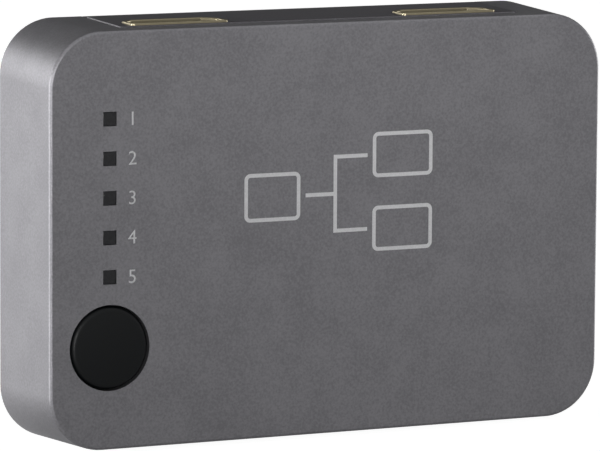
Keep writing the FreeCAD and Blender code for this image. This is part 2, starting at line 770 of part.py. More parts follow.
def make_socket_shell(name, **where):
    """A sheet-metal tube with four pegs that go through the board."""
    body = new_body(name)
    column(body, "tube", -size.socket_length, 0, [(socket_outline, 0, 0)])
    column(body, "tube_inside", -size.socket_length - OVERCUT, OVERCUT,
           [(socket_outline, 0, size.socket_sheet)], cut=True)
    inside = (size.socket_width / 2 - size.socket_sheet / 2).value
    nearest = (size.socket_front + size.socket_sheet / 2).value
    farthest = (board_front - size.socket_sheet / 2).value

    def at_mouth_inside(edge):
        return all(abs(point.z) < TINY and abs(point.x) < inside and nearest < point.y < farthest
                   for point in ends(edge))

    dress(body, "mouth_bevel", "Chamfer", body.Tip, at_mouth_inside, size.mouth_bevel)
    outer = size.socket_width / 2
    inner = outer - size.socket_sheet
    half = size.peg_width / 2
    pegs = []
    for up in peg_places():
        pegs.append((rectangle, inner, outer, up - half, up + half))
        pegs.append((rectangle, -outer, -inner, up - half, up + half))
    layer(body, "pegs", board_front - size.socket_depth / 2, board_back + size.peg_reach, pegs)
    piece(body, name + "_shell", **where)


def contact_row(name, face, first, count):
    """A row of contact strips: along the tongue, out at the rear and down to a foot on the board."""
    body = new_body(name)
    sheet_metal = size.contact_thickness
    tip = -size.tongue_recess - size.contact_setback
    out = -size.socket_length - size.tail_reach
    strip_outline = (outline, (face, tip), (face + sheet_metal, tip), (face + sheet_metal, out + sheet_metal),
                     (board_front, out + sheet_metal), (board_front, out - size.contact_foot),
                     (board_front - sheet_metal, out - size.contact_foot), (board_front - sheet_metal, out),
                     (face, out))
    contact = strip(body, "contact", first - size.contact_width / 2, first + size.contact_width / 2,
                    [strip_outline])
    row(body, "contacts", [contact], "X_Axis", size.contact_pitch, count)
    return body


def make_socket_inside(name, **where):
    """The insulator with its tongue, and the two rows of contacts that lie in it."""
    middle = size.socket_front + size.socket_depth / 2
    tongue_front = middle - size.tongue_thickness / 2
    tongue_back = middle + size.tongue_thickness / 2
    reach = size.contact_pitch * (size.contact_count - 1) / 2
    front_row = contact_row(name + "_front_row", tongue_front, -reach, size.contact_count)
    back_row = contact_row(name + "_back_row", tongue_back - size.contact_thickness,
                           size.contact_pitch / 2 - reach, size.contact_count - 1)
    contacts = group(name + "_contacts", [front_row, back_row])
    grooves = group(name + "_grooves", [front_row, back_row])
    blank = new_body(name + "_blank")
    column(blank, "rear_block", -size.socket_length, size.block_length - size.socket_length,
           [(socket_outline, 0, size.socket_sheet + size.rest_gap)])
    column(blank, "tongue", -size.socket_length, -size.tongue_recess,
           [(rectangle, -size.tongue_width / 2, size.tongue_width / 2, tongue_front, tongue_back)])
    insulator = doc.addObject("Part::Cut", name + "_insulator")
    insulator.Base = blank
    insulator.Tool = grooves
    piece(contacts, name + "_contacts", **where)
    piece(insulator, name + "_insulator", **where)


def make_power_jack():
    """The power inlet on the bottom side: housing, centre pin and contact spring."""
    where = {"across": jack_across, "up": -bottom_mouth(), "turned": True}
    inner_end = size.jack_wall - size.jack_length
    half = size.spring_width / 2
    slot = half + size.fit_gap
    housing = new_body("power_jack_housing")
    side = size.jack_width / 2
    column(housing, "box", -size.jack_length, 0,
           [(rectangle, -side, side, board_front - size.jack_depth, board_front)])
    column(housing, "bore", inner_end, OVERCUT, [(circle, 0, jack_axis, size.jack_bore / 2)], cut=True)
    column(housing, "spring_slot", inner_end, -size.jack_wall,
           [(rectangle, 0, size.spring_slot, jack_axis - slot, jack_axis + slot)], cut=True)
    column(housing, "pin_hole", -size.jack_length - OVERCUT, inner_end + OVERCUT,
           [(circle, 0, jack_axis, size.jack_pin / 2 + size.screw_fit)], cut=True)
    piece(housing, "power_jack_housing", **where)
    pin = new_body("power_jack_pin")
    column(pin, "pin", -size.jack_length - size.jack_pin_tail, -size.jack_pin_recess,
           [(circle, 0, jack_axis, size.jack_pin / 2)])
    piece(pin, "power_jack_pin", **where)
    floor = size.spring_slot - size.rest_gap
    crest = size.spring_crest
    metal = size.spring_sheet
    slot_end = inner_end + size.rest_gap
    free_end = -size.jack_wall - size.rest_gap
    knee = (slot_end + free_end) / 2
    spring = new_body("power_jack_spring")
    layer(spring, "leaf", jack_axis - half, jack_axis + half,
          [(outline, (floor - metal, slot_end), (floor, slot_end), (floor, knee),
            (crest + metal, (knee + free_end) / 2), (floor, free_end), (floor - metal, free_end),
            (crest, (knee + free_end) / 2), (floor - metal, knee))])
    piece(spring, "power_jack_spring", **where)


# Indicators and button

def make_light_guide():
    """One clear moulding: a strip behind the face with an end in each window and a leg above each diode."""
    body = new_body("light_guide")
    half = size.guide_strip_width / 2
    front = size.face_wall + size.rest_gap
    back = front + size.guide_strip_thickness
    layer(body, "strip", front, back,
          [(rectangle, column_across - half, column_across + half,
            last_window_up - half, first_window_up + half)])
    end = layer(body, "window_end", size.guide_recess, front + size.guide_strip_thickness / 2,
                [(square, column_across, first_window_up, size.window_side - size.fit_gap)])
    leg = layer(body, "leg", back - size.guide_strip_thickness / 2,
                board_front - size.diode_thickness - size.guide_lead,
                [(square, column_across, first_window_up, size.guide_post_side)])
    row(body, "ends_and_legs", [end, leg], "Z_Axis", size.window_pitch, size.window_count, reverse=True)
    piece(body, "light_guide")

    holder = new_body("light_guide_holder")
    layer(holder, "holder", back + size.rest_gap, board_front,
          [(rectangle, column_across - holder_reach, column_across + holder_reach,
            last_window_up - holder_reach, first_window_up + holder_reach)])
    cell = layer(holder, "cell", back - OVERCUT, board_front + OVERCUT,
                 [(square, column_across, first_window_up, size.holder_cell)], cut=True)
    row(holder, "cells", [cell], "Z_Axis", size.window_pitch, size.window_count, reverse=True)
    piece(holder, "light_guide_holder")

    diodes = new_body("indicator_leds")
    across, up = size.diode_width / 2, size.diode_height / 2
    diode = layer(diodes, "diode", board_front - size.diode_thickness, board_front,
                  [(rectangle, column_across - across, column_across + across,
                    first_window_up - up, first_window_up + up)])
    row(diodes, "diodes", [diode], "Z_Axis", size.window_pitch, size.window_count, reverse=True)
    piece(diodes, "indicator_leds")


def domed_outline(sketch, rim, dome, *corners):
    """An outline of (radius, depth) corners whose first side, from the axis to the rim, bulges forwards."""
    bulge = (rim * rim + dome * dome) / (dome * 2)
    middle = FreeCAD.Vector(0, (bulge - dome).value, 0)
    crown = Part.Circle(middle, FreeCAD.Vector(0, 0, 1), bulge.value)
    rim_angle = math.atan2(-middle.y, rim.value)
    arc = sketch.addGeometry(Part.ArcOfCircle(crown, -math.pi / 2, rim_angle), False)
    points = [(rim, as_size(0))] + [(as_size(radius), as_size(depth)) for radius, depth in corners]
    points.append((as_size(0), -dome))
    vectors = [FreeCAD.Vector(radius.value, depth.value, 0) for radius, depth in points]
    lines = [Part.LineSegment(start, end) for start, end in zip(vectors, vectors[1:])]
    sketch.addGeometry(lines, False)
    last = arc + len(lines)
    for number in range(arc, last):
        sketch.addConstraint(Sketcher.Constraint("Coincident", number, 2, number + 1, 1))
    sketch.addConstraint(Sketcher.Constraint("Coincident", last, 2, arc, 1))
    for number, (radius, depth) in enumerate(points[:-1], start=arc + 1):
        hold_point(sketch, number, 1, radius, depth)
    hold_point(sketch, arc, 1, 0, -dome)
    held = sketch.addConstraint(Sketcher.Constraint("Radius", arc, bulge.value))
    sketch.setExpression("Constraints[%d]" % held, bulge.formula)


def make_button_cap():
    """A turned cap: domed crown, skirt in the face's hole, retaining flange behind it and a stem."""
    body = new_body("button_cap")
    sketch = new_sketch(body, "section", "XY_Plane", 0)
    flange_back = flange_front + size.flange_thickness
    hollow = button_radius - size.button_wall
    domed_outline(sketch, button_radius, size.button_dome,
                  (button_radius, flange_front), (flange_radius, flange_front), (flange_radius, flange_back),
                  (hollow, flange_back), (hollow, size.button_top), (size.stem_radius, size.button_top),
                  (size.stem_radius, plunger_front), (0, plunger_front))
    turned = body.newObject("PartDesign::Revolution", "turned")
    turned.Profile = sketch
    turned.ReferenceAxis = (sketch, ["V_Axis"])
    turned.Angle = FULL_TURN
    body.Tip = turned

    def at_rim(edge):
        return all(abs(point.y) < TINY and abs(point.x) > TINY for point in ends(edge))

    dress(body, "rim", "Fillet", turned, at_rim, size.button_round)
    piece(body, "button_cap", across=column_across, up=button_up)


def make_push_switch():
    """The tactile switch behind the button: base, cover plate, plunger, snap dome and terminals."""
    where = {"across": column_across, "up": button_up}
    base = plate("switch_base", size.switch_side, size.switch_side, switch_front, board_front)
    floor = board_front - size.switch_floor
    layer(base, "cavity", switch_front - OVERCUT, floor, [(circle, 0, 0, size.switch_cavity / 2)], cut=True)
    piece(base, "switch_base", **where)

    side = size.switch_side - size.fit_gap * 2
    cover_face = switch_front - size.switch_cover
    cover = plate("switch_cover_plate", side, side, cover_face, switch_front)
    layer(cover, "opening", cover_face - OVERCUT, switch_front + OVERCUT,
          [(circle, 0, 0, size.switch_opening / 2)], cut=True)
    piece(cover, "switch_cover_plate", **where)

    plunger = new_body("switch_plunger")
    neck = size.switch_opening / 2 - size.plunger_gap
    flange = size.switch_cavity / 2 - size.plunger_flange_gap
    shoulder = switch_front + size.rest_gap
    flange_end = shoulder + size.plunger_flange
    nub_end = dome_top - size.rest_gap
    revolve(plunger, "turned", (0, plunger_front), (neck, plunger_front), (neck, shoulder),
            (flange, shoulder), (flange, flange_end), (size.nub_radius, flange_end),
            (size.nub_radius, nub_end), (0, nub_end))
    piece(plunger, "switch_plunger", **where)

    dome = new_body("switch_dome")
    metal = size.dome_sheet
    lip = floor - metal
    revolve(dome, "pressed", (0, dome_top), (size.dome_flat, dome_top), (size.dome_radius, lip),
            (size.dome_radius, floor), (size.dome_radius - metal, floor),
            (size.dome_flat - metal, dome_top + metal), (0, dome_top + metal))
    piece(dome, "switch_dome", **where)

    terminal = new_body("terminal")
    side = size.switch_side / 2
    metal = size.terminal_sheet
    half = size.terminal_width / 2
    tip = board_front - size.terminal_rise
    toe = side + size.terminal_reach
    column(terminal, "bent", -half, half,
           [(outline, (side, tip), (side + metal, tip), (side + metal, board_front - metal),
             (toe, board_front - metal), (toe, board_front), (side, board_front))])
    up = size.terminal_pitch / 2
    places = [(0, up, 0), (0, -up, 0), (0, up, HALF_TURN), (0, -up, HALF_TURN)]
    piece(copies("switch_terminals", terminal, places), "switch_terminals", **where)


# Board and what stands on it

def make_main_board():
    """The board: its corners are cut away round the pillars, with holes for screws and receptacle pegs."""
    body = new_body("main_board")
    across, up = board_half_width, board_half_height
    cut_across = screw_across - size.pillar_side / 2 - size.board_notch_gap
    cut_up = screw_up - size.pillar_side / 2 - size.board_notch_gap
    layer(body, "board", board_front, board_back,
          [(outline, (-cut_across, -up), (cut_across, -up), (cut_across, -cut_up), (across, -cut_up),
            (across, cut_up), (cut_across, cut_up), (cut_across, up), (-cut_across, up),
            (-cut_across, cut_up), (-across, cut_up), (-across, -cut_up), (-cut_across, -cut_up))])
    holes = [(circle, place_across, place_up, size.screw_diameter / 2 + size.screw_clearance)
             for place_across, place_up in post_places]
    outer = size.socket_width / 2 + size.peg_clearance
    inner = size.socket_width / 2 - size.socket_sheet - size.peg_clearance
    half = size.peg_width / 2 + size.peg_clearance
    for middle, mouth, facing in ((output_1_across, output_mouth(), 1), (output_2_across, output_mouth(), 1),
                                  (output_2_across, bottom_mouth(), -1)):
        for drop in peg_places():
            height = (mouth + drop) * facing
            holes.append((rectangle, middle + inner, middle + outer, height - half, height + half))
            holes.append((rectangle, middle - outer, middle - inner, height - half, height + half))
    layer(body, "holes", board_front - OVERCUT, board_back + OVERCUT, holes, cut=True)
    piece(body, "main_board")


def spot(name):
    """Where a component of the layout stands."""
    return {"across": getattr(size, name + "_across"), "up": getattr(size, name + "_up")}


def lead_row(name, half_side, thickness, pitch, width, count):
    """Gull-wing leads along one side of a chip that stands at the origin; they point up."""
    body = new_body(name)
    metal = size.lead_sheet
    middle = board_front - size.chip_standoff - thickness / 2
    knee = half_side + size.lead_reach - size.lead_foot
    toe = half_side + size.lead_reach
    first = pitch * (count - 1) / -2
    lead = strip(body, "lead", first - width / 2, first + width / 2,
                 [(outline, (middle - metal / 2, half_side), (middle - metal / 2, knee + metal),
                   (board_front - metal, knee + metal), (board_front - metal, toe), (board_front, toe),
                   (board_front, knee), (middle + metal / 2, knee), (middle + metal / 2, half_side))])
    row(body, "leads", [lead], "X_Axis", pitch, count)
    return body


def make_chip(name, width, height, thickness, where, leads, turns):
    """A moulded chip and its leads, on the sides that turns names in degrees."""
    back = board_front - size.chip_standoff
    piece(plate(name, width, height, back - thickness, back), name, **where)
    group_of_leads = copies(name + "_leads", leads, [(0, 0, turn) for turn in turns])
    piece(group_of_leads, name + "_leads", **where)


def make_chips():
    """The splitter chip with leads on four sides, the memory chip on two and the voltage regulator on one."""
    leads = lead_row("chip_lead_row", size.chip_side / 2, size.chip_thickness, size.lead_pitch,
                     size.lead_width, size.chip_lead_count)
    make_chip("splitter_chip", size.chip_side, size.chip_side, size.chip_thickness, spot("chip"), leads,
              (0, QUARTER_TURN, HALF_TURN, -QUARTER_TURN))
    leads = lead_row("memory_lead_row", size.memory_width / 2, size.memory_thickness, size.small_lead_pitch,
                     size.small_lead_width, size.memory_lead_count)
    make_chip("memory_chip", size.memory_width, size.memory_height, size.memory_thickness, spot("memory"),
              leads, (QUARTER_TURN, -QUARTER_TURN))
    leads = lead_row("regulator_lead_row", size.regulator_height / 2, size.regulator_thickness,
                     size.regulator_lead_pitch, size.regulator_lead_width, size.regulator_lead_count)
    make_chip("voltage_regulator", size.regulator_width, size.regulator_height, size.regulator_thickness,
              spot("regulator"), leads, (HALF_TURN,))


def make_heat_sink():
    """A finned aluminium heat sink, taped to the splitter chip."""
    chip_front = board_front - size.chip_standoff - size.chip_thickness
    tape_front = chip_front - size.tape_thickness
    piece(plate("thermal_tape", size.chip_side, size.chip_side, tape_front, chip_front), "thermal_tape",
          **spot("chip"))
    body = plate("heat_sink", size.sink_side, size.sink_side, tape_front - size.sink_base, tape_front)
    half = size.sink_side / 2
    fin = layer(body, "fin", size.face_wall + size.sink_gap, tape_front,
                [(rectangle, -half, size.fin_thickness - half, -half, half)])
    row(body, "fins", [fin], "X_Axis", (size.sink_side - size.fin_thickness) / (size.fin_count - 1),
        size.fin_count)
    piece(body, "heat_sink", **spot("chip"))


def make_power_parts():
    """Inductor and electrolytic capacitors of the power supply."""
    inductor = plate("power_inductor", size.inductor_side, size.inductor_side,
                     board_front - size.inductor_thickness, board_front)
    dress(inductor, "corners", "Fillet", inductor.Tip, runs_deep, size.inductor_radius)
    piece(inductor, "power_inductor", **spot("inductor"))

    can = plate("can", size.can_diameter, size.can_diameter, board_front - size.can_base, board_front)
    top = board_front - size.can_height
    layer(can, "cylinder", top, board_front - size.can_base / 2,
          [(circle, 0, 0, size.can_diameter / 2 - size.fit_gap)])

    def at_top(edge):
        return all(abs(point.y - top.value) < TINY for point in ends(edge))

    dress(can, "rim", "Fillet", can.Tip, at_top, size.can_round)
    places = [(size.can_left_across, size.can_left_up), (size.can_right_across, size.can_right_up)]
    piece(copies("electrolytic_capacitors", can, places), "electrolytic_capacitors")


def component_rows(first, second, pitch):
    """Places of two rows of small components that start at two spots of the layout and run down."""
    return [(spot(name)["across"], spot(name)["up"] - pitch * number)
            for name in (first, second) for number in range(ROW_COUNT)]


def make_small_components():
    """The timing crystal, two rows each of ceramic capacitors and resistors, and an array at each receptacle."""
    piece(plate("timing_crystal", size.crystal_width, size.crystal_height,
                board_front - size.crystal_thickness, board_front), "timing_crystal", **spot("crystal"))
    ceramic = plate("ceramic", size.ceramic_width, size.ceramic_height,
                    board_front - size.ceramic_thickness, board_front)
    piece(copies("ceramic_capacitors", ceramic,
                 component_rows("ceramic_left", "ceramic_right", size.ceramic_pitch)), "ceramic_capacitors")
    resistor = plate("resistor", size.resistor_width, size.resistor_height,
                     board_front - size.resistor_thickness, board_front)
    piece(copies("chip_resistors", resistor,
                 component_rows("resistor_left", "resistor_right", size.resistor_pitch)), "chip_resistors")
    array = plate("array", size.array_width, size.array_height,
                  board_front - size.array_thickness, board_front)
    reach = size.socket_length + size.tail_reach + size.contact_foot + size.array_drop
    places = [(output_1_across, output_mouth() - reach), (output_2_across, output_mouth() - reach),
              (output_2_across, reach - bottom_mouth())]
    piece(copies("signal_protection_arrays", array, places), "signal_protection_arrays")


def make_part():
    """Every sub-part, from the case to the small components."""
    clearance = -size.socket_clearance
    make_front_shell()
    make_rear_cover()
    make_rubber_feet()
    make_cover_screws()
    make_insulating_film()
    make_port_panel("top_port_panel", size.panel_proud,
                    [(socket_outline, output_1_across, clearance),
                     (socket_outline, output_2_across, clearance)])
    jack_left = -jack_across - size.jack_width / 2 + clearance
    jack_right = -jack_across + size.jack_width / 2 - clearance
    make_port_panel("bottom_port_panel", -size.panel_sink,
                    [(socket_outline, -output_2_across, clearance),
                     (rectangle, jack_left, jack_right, board_front - size.jack_depth + clearance,
                      board_front - clearance)], turned=True)
    sockets = {
        "output_1_socket": {"across": output_1_across, "up": output_mouth()},
        "output_2_socket": {"across": output_2_across, "up": output_mouth()},
        "input_socket": {"across": output_2_across, "up": -bottom_mouth(), "turned": True},
    }
    for name, where in sockets.items():
        make_socket_shell(name, **where)
        make_socket_inside(name, **where)
    make_power_jack()
    make_light_guide()
    make_button_cap()
    make_push_switch()
    make_main_board()
    make_board_screws()
    make_chips()
    make_heat_sink()
    make_power_parts()
    make_small_components()


def export_parts():
    """Recompute, check every object and shape, and write one file for each sub-part."""
    doc.recompute()
    for thing in doc.Objects:
        if "Invalid" in thing.State or "Error" in thing.State:
            raise RuntimeError("%s failed: %s" % (thing.Name, thing.State))
    for thing in pieces:
        if thing.Shape.isNull() or not thing.Shape.isValid():
            raise RuntimeError("%s has no valid shape" % thing.Label)
    os.makedirs("parts", exist_ok=True)
    for thing in pieces:
        thing.Shape.exportStep("parts/%s.step" % thing.Label)
        box = thing.Shape.BoundBox
        print("%-28s %3d solids %10.2f mm3  x %.2f..%.2f  y %.2f..%.2f  z %.2f..%.2f" % (
            thing.Label, len(thing.Shape.Solids), thing.Shape.Volume, box.XMin, box.XMax, box.YMin, box.YMax,
            box.ZMin, box.ZMax))


make_part()
export_parts()
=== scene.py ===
"""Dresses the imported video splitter: finer shapes, finishes, printed marks, studio and camera.

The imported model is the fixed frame. Lengths are in metres. X runs across the labelled face, Y from the face
to the back, and Z up from the surface that the object stands on.
"""

import math

import bmesh
import bpy
import numpy as np
from bpy.props import FloatProperty, FloatVectorProperty, PointerProperty
from mathutils import Matrix, Vector


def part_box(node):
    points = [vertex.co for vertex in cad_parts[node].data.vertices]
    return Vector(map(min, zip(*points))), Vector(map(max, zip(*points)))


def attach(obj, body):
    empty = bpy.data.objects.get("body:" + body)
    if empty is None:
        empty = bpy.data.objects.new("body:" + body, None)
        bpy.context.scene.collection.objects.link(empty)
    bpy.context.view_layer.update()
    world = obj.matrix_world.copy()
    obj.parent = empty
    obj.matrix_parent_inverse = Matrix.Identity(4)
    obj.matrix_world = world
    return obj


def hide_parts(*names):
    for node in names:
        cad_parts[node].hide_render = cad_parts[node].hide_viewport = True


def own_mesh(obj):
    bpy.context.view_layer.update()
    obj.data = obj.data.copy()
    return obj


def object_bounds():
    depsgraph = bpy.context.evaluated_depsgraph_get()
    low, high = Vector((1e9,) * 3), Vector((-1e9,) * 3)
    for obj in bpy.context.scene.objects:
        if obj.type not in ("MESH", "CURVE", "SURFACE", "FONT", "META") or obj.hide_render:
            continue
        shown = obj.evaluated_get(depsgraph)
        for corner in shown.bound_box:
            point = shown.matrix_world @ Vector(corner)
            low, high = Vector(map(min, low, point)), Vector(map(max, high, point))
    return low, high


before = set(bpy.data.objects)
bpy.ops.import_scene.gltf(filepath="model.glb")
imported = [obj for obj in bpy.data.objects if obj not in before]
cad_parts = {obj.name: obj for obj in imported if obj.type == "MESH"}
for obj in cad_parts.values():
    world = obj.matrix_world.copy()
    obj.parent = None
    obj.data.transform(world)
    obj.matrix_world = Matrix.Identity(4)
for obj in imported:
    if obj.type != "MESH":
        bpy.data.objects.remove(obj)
CAD_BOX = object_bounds()

bl_info = {
    "name": "Video splitter",
    "version": (1, 0, 0),
    "blender": (4, 5, 0),
    "location": "View3D > Sidebar > Splitter",
    "description": "Finishes, fine shapes and studio for the packed video splitter",
    "category": "Object",
}

MM = 0.001
WHITE = (1, 1, 1, 1)
WELD = 0.000002                    # corners of loose triangles closer than this are one
FLAT = math.radians(0.6)           # faces that lean less than this against each other are one
CREASE = math.radians(28)          # steeper edges stay sharp or get a rounding
PRINT_LIFT = 0.000012              # thickness of the printed ink
BUTTON_RISE = 0.35 * MM            # the button's dome stands this far in front of the face
FACE = CAD_BOX[0].y + BUTTON_RISE  # the labelled face lies at this Y
FACE_LEFT = -42.5 * MM             # its left edge
FACE_TOP = 58.35 * MM              # its top edge


def linear(hexadecimal):
    """An sRGB hex colour as three linear values: a channel c is divided by 12.92 near black, and is otherwise
    (c + 0.055) / 1.055 to the power 2.4."""
    channels = np.array([int(hexadecimal[place:place + 2], 16) for place in (0, 2, 4)]) / 255
    low, high = channels / 12.92, ((channels + 0.055) / 1.055) ** 2.4
    return tuple(float(value) for value in np.where(channels <= 0.04045, low, high))


def opaque(colour):
    """The colour with full opacity, as a colour socket takes it."""
    return (*colour, 1.0)


def dimmed(colour, share):
    """The colour with each channel times the share."""
    return tuple(value * share for value in colour)


def box_of(node):
    """Lowest and highest corner of a CAD node as arrays."""
    low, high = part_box(node)
    return np.array(low), np.array(high)


# Sizes and colours that a user would change

class CaseLook(bpy.types.PropertyGroup):
    """The aluminium case and its printed marks."""

    aluminium: FloatVectorProperty(
        name="Aluminium", description="Blasted and anodised aluminium, lighter grains", subtype="COLOR",
        size=3, min=0, max=1, default=linear("949397"))
    aluminium_dark: FloatVectorProperty(
        name="Aluminium, darker grains", description="Blasted and anodised aluminium, darker grains",
        subtype="COLOR", size=3, min=0, max=1, default=linear("828185"))
    edge_rounding: FloatProperty(
        name="Edge rounding", description="Rounding that the tumbled edges of the case keep", unit="LENGTH",
        min=0.00001, max=0.0003, default=0.00009, precision=5)
    grain: FloatProperty(
        name="Blast grain", description="Width of the dents that the glass beads leave", unit="LENGTH",
        min=0.00005, max=0.002, default=0.00032, precision=5)
    ink: FloatVectorProperty(
        name="Ink", description="Pad-printed marks", subtype="COLOR", size=3, min=0, max=1,
        default=linear("F0F0F2"))
    numeral_height: FloatProperty(
        name="Numeral height", description="Height of the numerals beside the windows", unit="LENGTH",
        min=0.0005, max=0.004, default=0.0019, precision=4)


class PlasticLook(bpy.types.PropertyGroup):
    """The port panels, the push button and the indicator windows."""

    panel: FloatVectorProperty(
        name="Port panels", description="Moulded panels round the connectors", subtype="COLOR", size=3,
        min=0, max=1, default=linear("6A686D"))
    button: FloatVectorProperty(
        name="Button", description="Satin push button", subtype="COLOR", size=3, min=0, max=1,
        default=linear("0D1012"))
    window: FloatVectorProperty(
        name="Windows", description="Smoked indicator windows", subtype="COLOR", size=3, min=0, max=1,
        default=linear("303033"))
    button_rounding: FloatProperty(
        name="Button rounding", description="Rounding of the button's rim", unit="LENGTH", min=0.0001,
        max=0.001, default=0.0008, precision=5)


class SocketLook(bpy.types.PropertyGroup):
    """The plated receptacles."""

    gold: FloatVectorProperty(
        name="Gold plating", description="Thin gold over nickel on the receptacle shells", subtype="COLOR",
        size=3, min=0, max=1, default=linear("9C937A"))
    lip_rounding: FloatProperty(
        name="Lip rounding", description="Rounding of the receptacle's mouth, outside", unit="LENGTH",
        min=0.00002, max=0.00016, default=0.0001, precision=5)
    corner_rounding: FloatProperty(
        name="Corner rounding", description="Bend radius of the sheet metal, outside", unit="LENGTH",
        min=0.0002, max=0.001, default=0.0006, precision=5)


class StudioLook(bpy.types.PropertyGroup):
    """Lamps, floor and camera."""

    left_lamp: FloatProperty(
        name="Left lamp", description="Soft box on the left", unit="POWER", min=0, default=19.0)
    front_lamp: FloatProperty(
        name="Front lamp", description="Soft box at the left of the camera", unit="POWER", min=0,
        default=0.076, precision=4)
    rear_lamp: FloatProperty(
        name="Rear lamp", description="Large soft box behind the object, on the left", unit="POWER", min=0,
        default=4.1)
    right_lamp: FloatProperty(
        name="Right lamp", description="Weak soft box on the right", unit="POWER", min=0, default=4.0)
    top_lamp: FloatProperty(
        name="Top lamp", description="Weak soft box overhead that draws the front edges", unit="POWER",
        min=0, default=0.5)
    room_light: FloatProperty(
        name="Room light", description="Even light from all around", min=0, max=2, default=0.04)
    horizon_share: FloatProperty(
        name="Horizon share", description="Share of the white that glossy surfaces show behind the object",
        subtype="FACTOR", min=0, max=1, default=0.03)
    front_share: FloatProperty(
        name="Front share", description="Share of the white that glossy surfaces show in front of the object",
        subtype="FACTOR", min=0, max=1, default=0.54)
    far_floor_share: FloatProperty(
        name="Far floor share", subtype="FACTOR", min=0, max=1, default=0.47,
        description="Share of the white floor that glossy surfaces show, 0.4 m in front of the object")
    near_floor_share: FloatProperty(
        name="Near floor share", subtype="FACTOR", min=0, max=1, default=0.26,
        description="Share of the white floor that glossy surfaces show, right in front of the object")
    floor: FloatVectorProperty(
        name="Floor", description="Pale paper floor", subtype="COLOR", size=3, min=0, max=1,
        default=linear("A0A0A0"))
    lens: FloatProperty(
        name="Lens", description="Focal length of the camera", unit="CAMERA", min=10, max=1000,
        default=314.69)


class SplitterLook(bpy.types.PropertyGroup):
    """Everything that can be changed."""

    case: PointerProperty(type=CaseLook)
    plastic: PointerProperty(type=PlasticLook)
    socket: PointerProperty(type=SocketLook)
    studio: PointerProperty(type=StudioLook)


# Surfaces

def grid_faces(rows, columns, rows_close=False, columns_close=False):
    """Four-sided faces between the neighbours of a rows by columns grid. A closed direction joins its last
    line to its first."""
    row = np.arange(rows if rows_close else rows - 1)
    column = np.arange(columns if columns_close else columns - 1)
    row, column = np.meshgrid(row, column, indexing="ij")
    below, beside = (row + 1) % rows, (column + 1) % columns
    corners = [row * columns + column, row * columns + beside,
               below * columns + beside, below * columns + column]
    return np.stack(corners, axis=-1).reshape(-1, 4)


def rounded(corners, radii, steps=6):
    """Points and outward normals of a closed outline whose corners are arcs. The corners run against the
    clock. At a corner with the directions a and b to its neighbours, and the angle f between them, the arc's
    middle lies r / sin(f / 2) along a + b. The arc turns by pi - f, from one side's normal to the other's."""
    corners = np.asarray(corners, dtype=float)
    radii = np.broadcast_to(np.asarray(radii, dtype=float), len(corners))[:, None]
    back = np.roll(corners, 1, axis=0) - corners
    ahead = np.roll(corners, -1, axis=0) - corners
    back /= np.linalg.norm(back, axis=1, keepdims=True)
    ahead /= np.linalg.norm(ahead, axis=1, keepdims=True)
    opening = np.arccos(np.clip((back * ahead).sum(axis=1, keepdims=True), -1, 1))
    bisector = back + ahead
    bisector /= np.linalg.norm(bisector, axis=1, keepdims=True)
    middles = corners + bisector * radii / np.sin(opening / 2)
    first = np.stack([-back[:, 1], back[:, 0]], axis=1)
    last = np.stack([ahead[:, 1], -ahead[:, 0]], axis=1)
    turn = (math.pi - opening)[:, None]
    share = np.linspace(0, 1, steps)[None, :, None]
    normals = np.sin((1 - share) * turn) * first[:, None] + np.sin(share * turn) * last[:, None]
    normals = normals / np.sin(turn)
    points = middles[:, None] + normals * radii[:, None]
    return points.reshape(-1, 2), normals.reshape(-1, 2)


def carried(outline, normals, section):
    """A section of (outwards, height) points carried round a closed outline: each vertex is the outline's
    point, moved outwards along the normal, at that height. Gives vertices and faces."""
    flat = outline[:, None] + normals[:, None] * section[None, :, :1]
    height = np.broadcast_to(section[None, :, 1:], (*flat.shape[:2], 1))
    vertices = np.concatenate([flat, height], axis=2).reshape(-1, 3)
    return vertices, grid_faces(len(outline), len(section), rows_close=True, columns_close=True)


def turned(profile, steps):
    """A (radius, depth) profile turned about the Y axis: x is the radius times the cosine of the angle, y the
    depth, and z the radius times the sine. Gives vertices and faces."""
    angle = np.linspace(0, 2 * math.pi, steps, endpoint=False)[:, None]
    radius, depth = profile[:, 0][None], profile[:, 1][None]
    vertices = np.stack([radius * np.cos(angle), np.broadcast_to(depth, (steps, len(profile))),
                         radius * np.sin(angle)], axis=2)
    return vertices.reshape(-1, 3), grid_faces(steps, len(profile), rows_close=True)


def prism(outline, low, high):
    """A closed flat outline raised from one height to another: two rings of vertices, sides between them and
    a face at either end. Gives vertices and faces."""
    count = len(outline)
    levels = np.repeat([low, high], count)[:, None]
    vertices = np.concatenate([np.tile(outline, (2, 1)), levels], axis=1)
    sides = grid_faces(2, count, columns_close=True).tolist()
    return vertices, sides + [list(range(count)), list(range(count, 2 * count))]


def box_corners(low_a, high_a, low_b, high_b):
    """The four corners of a rectangle, against the clock."""
    return [(low_a, low_b), (high_a, low_b), (high_a, high_b), (low_a, high_b)]


def joined(parts):
    """Several (vertices, faces) pairs as one."""
    offsets = np.cumsum([0] + [len(vertices) for vertices, _ in parts[:-1]]).tolist()
    moved = [[corner + offset for corner in face]
             for (_, faces), offset in zip(parts, offsets) for face in faces]
    return np.concatenate([vertices for vertices, _ in parts]), moved


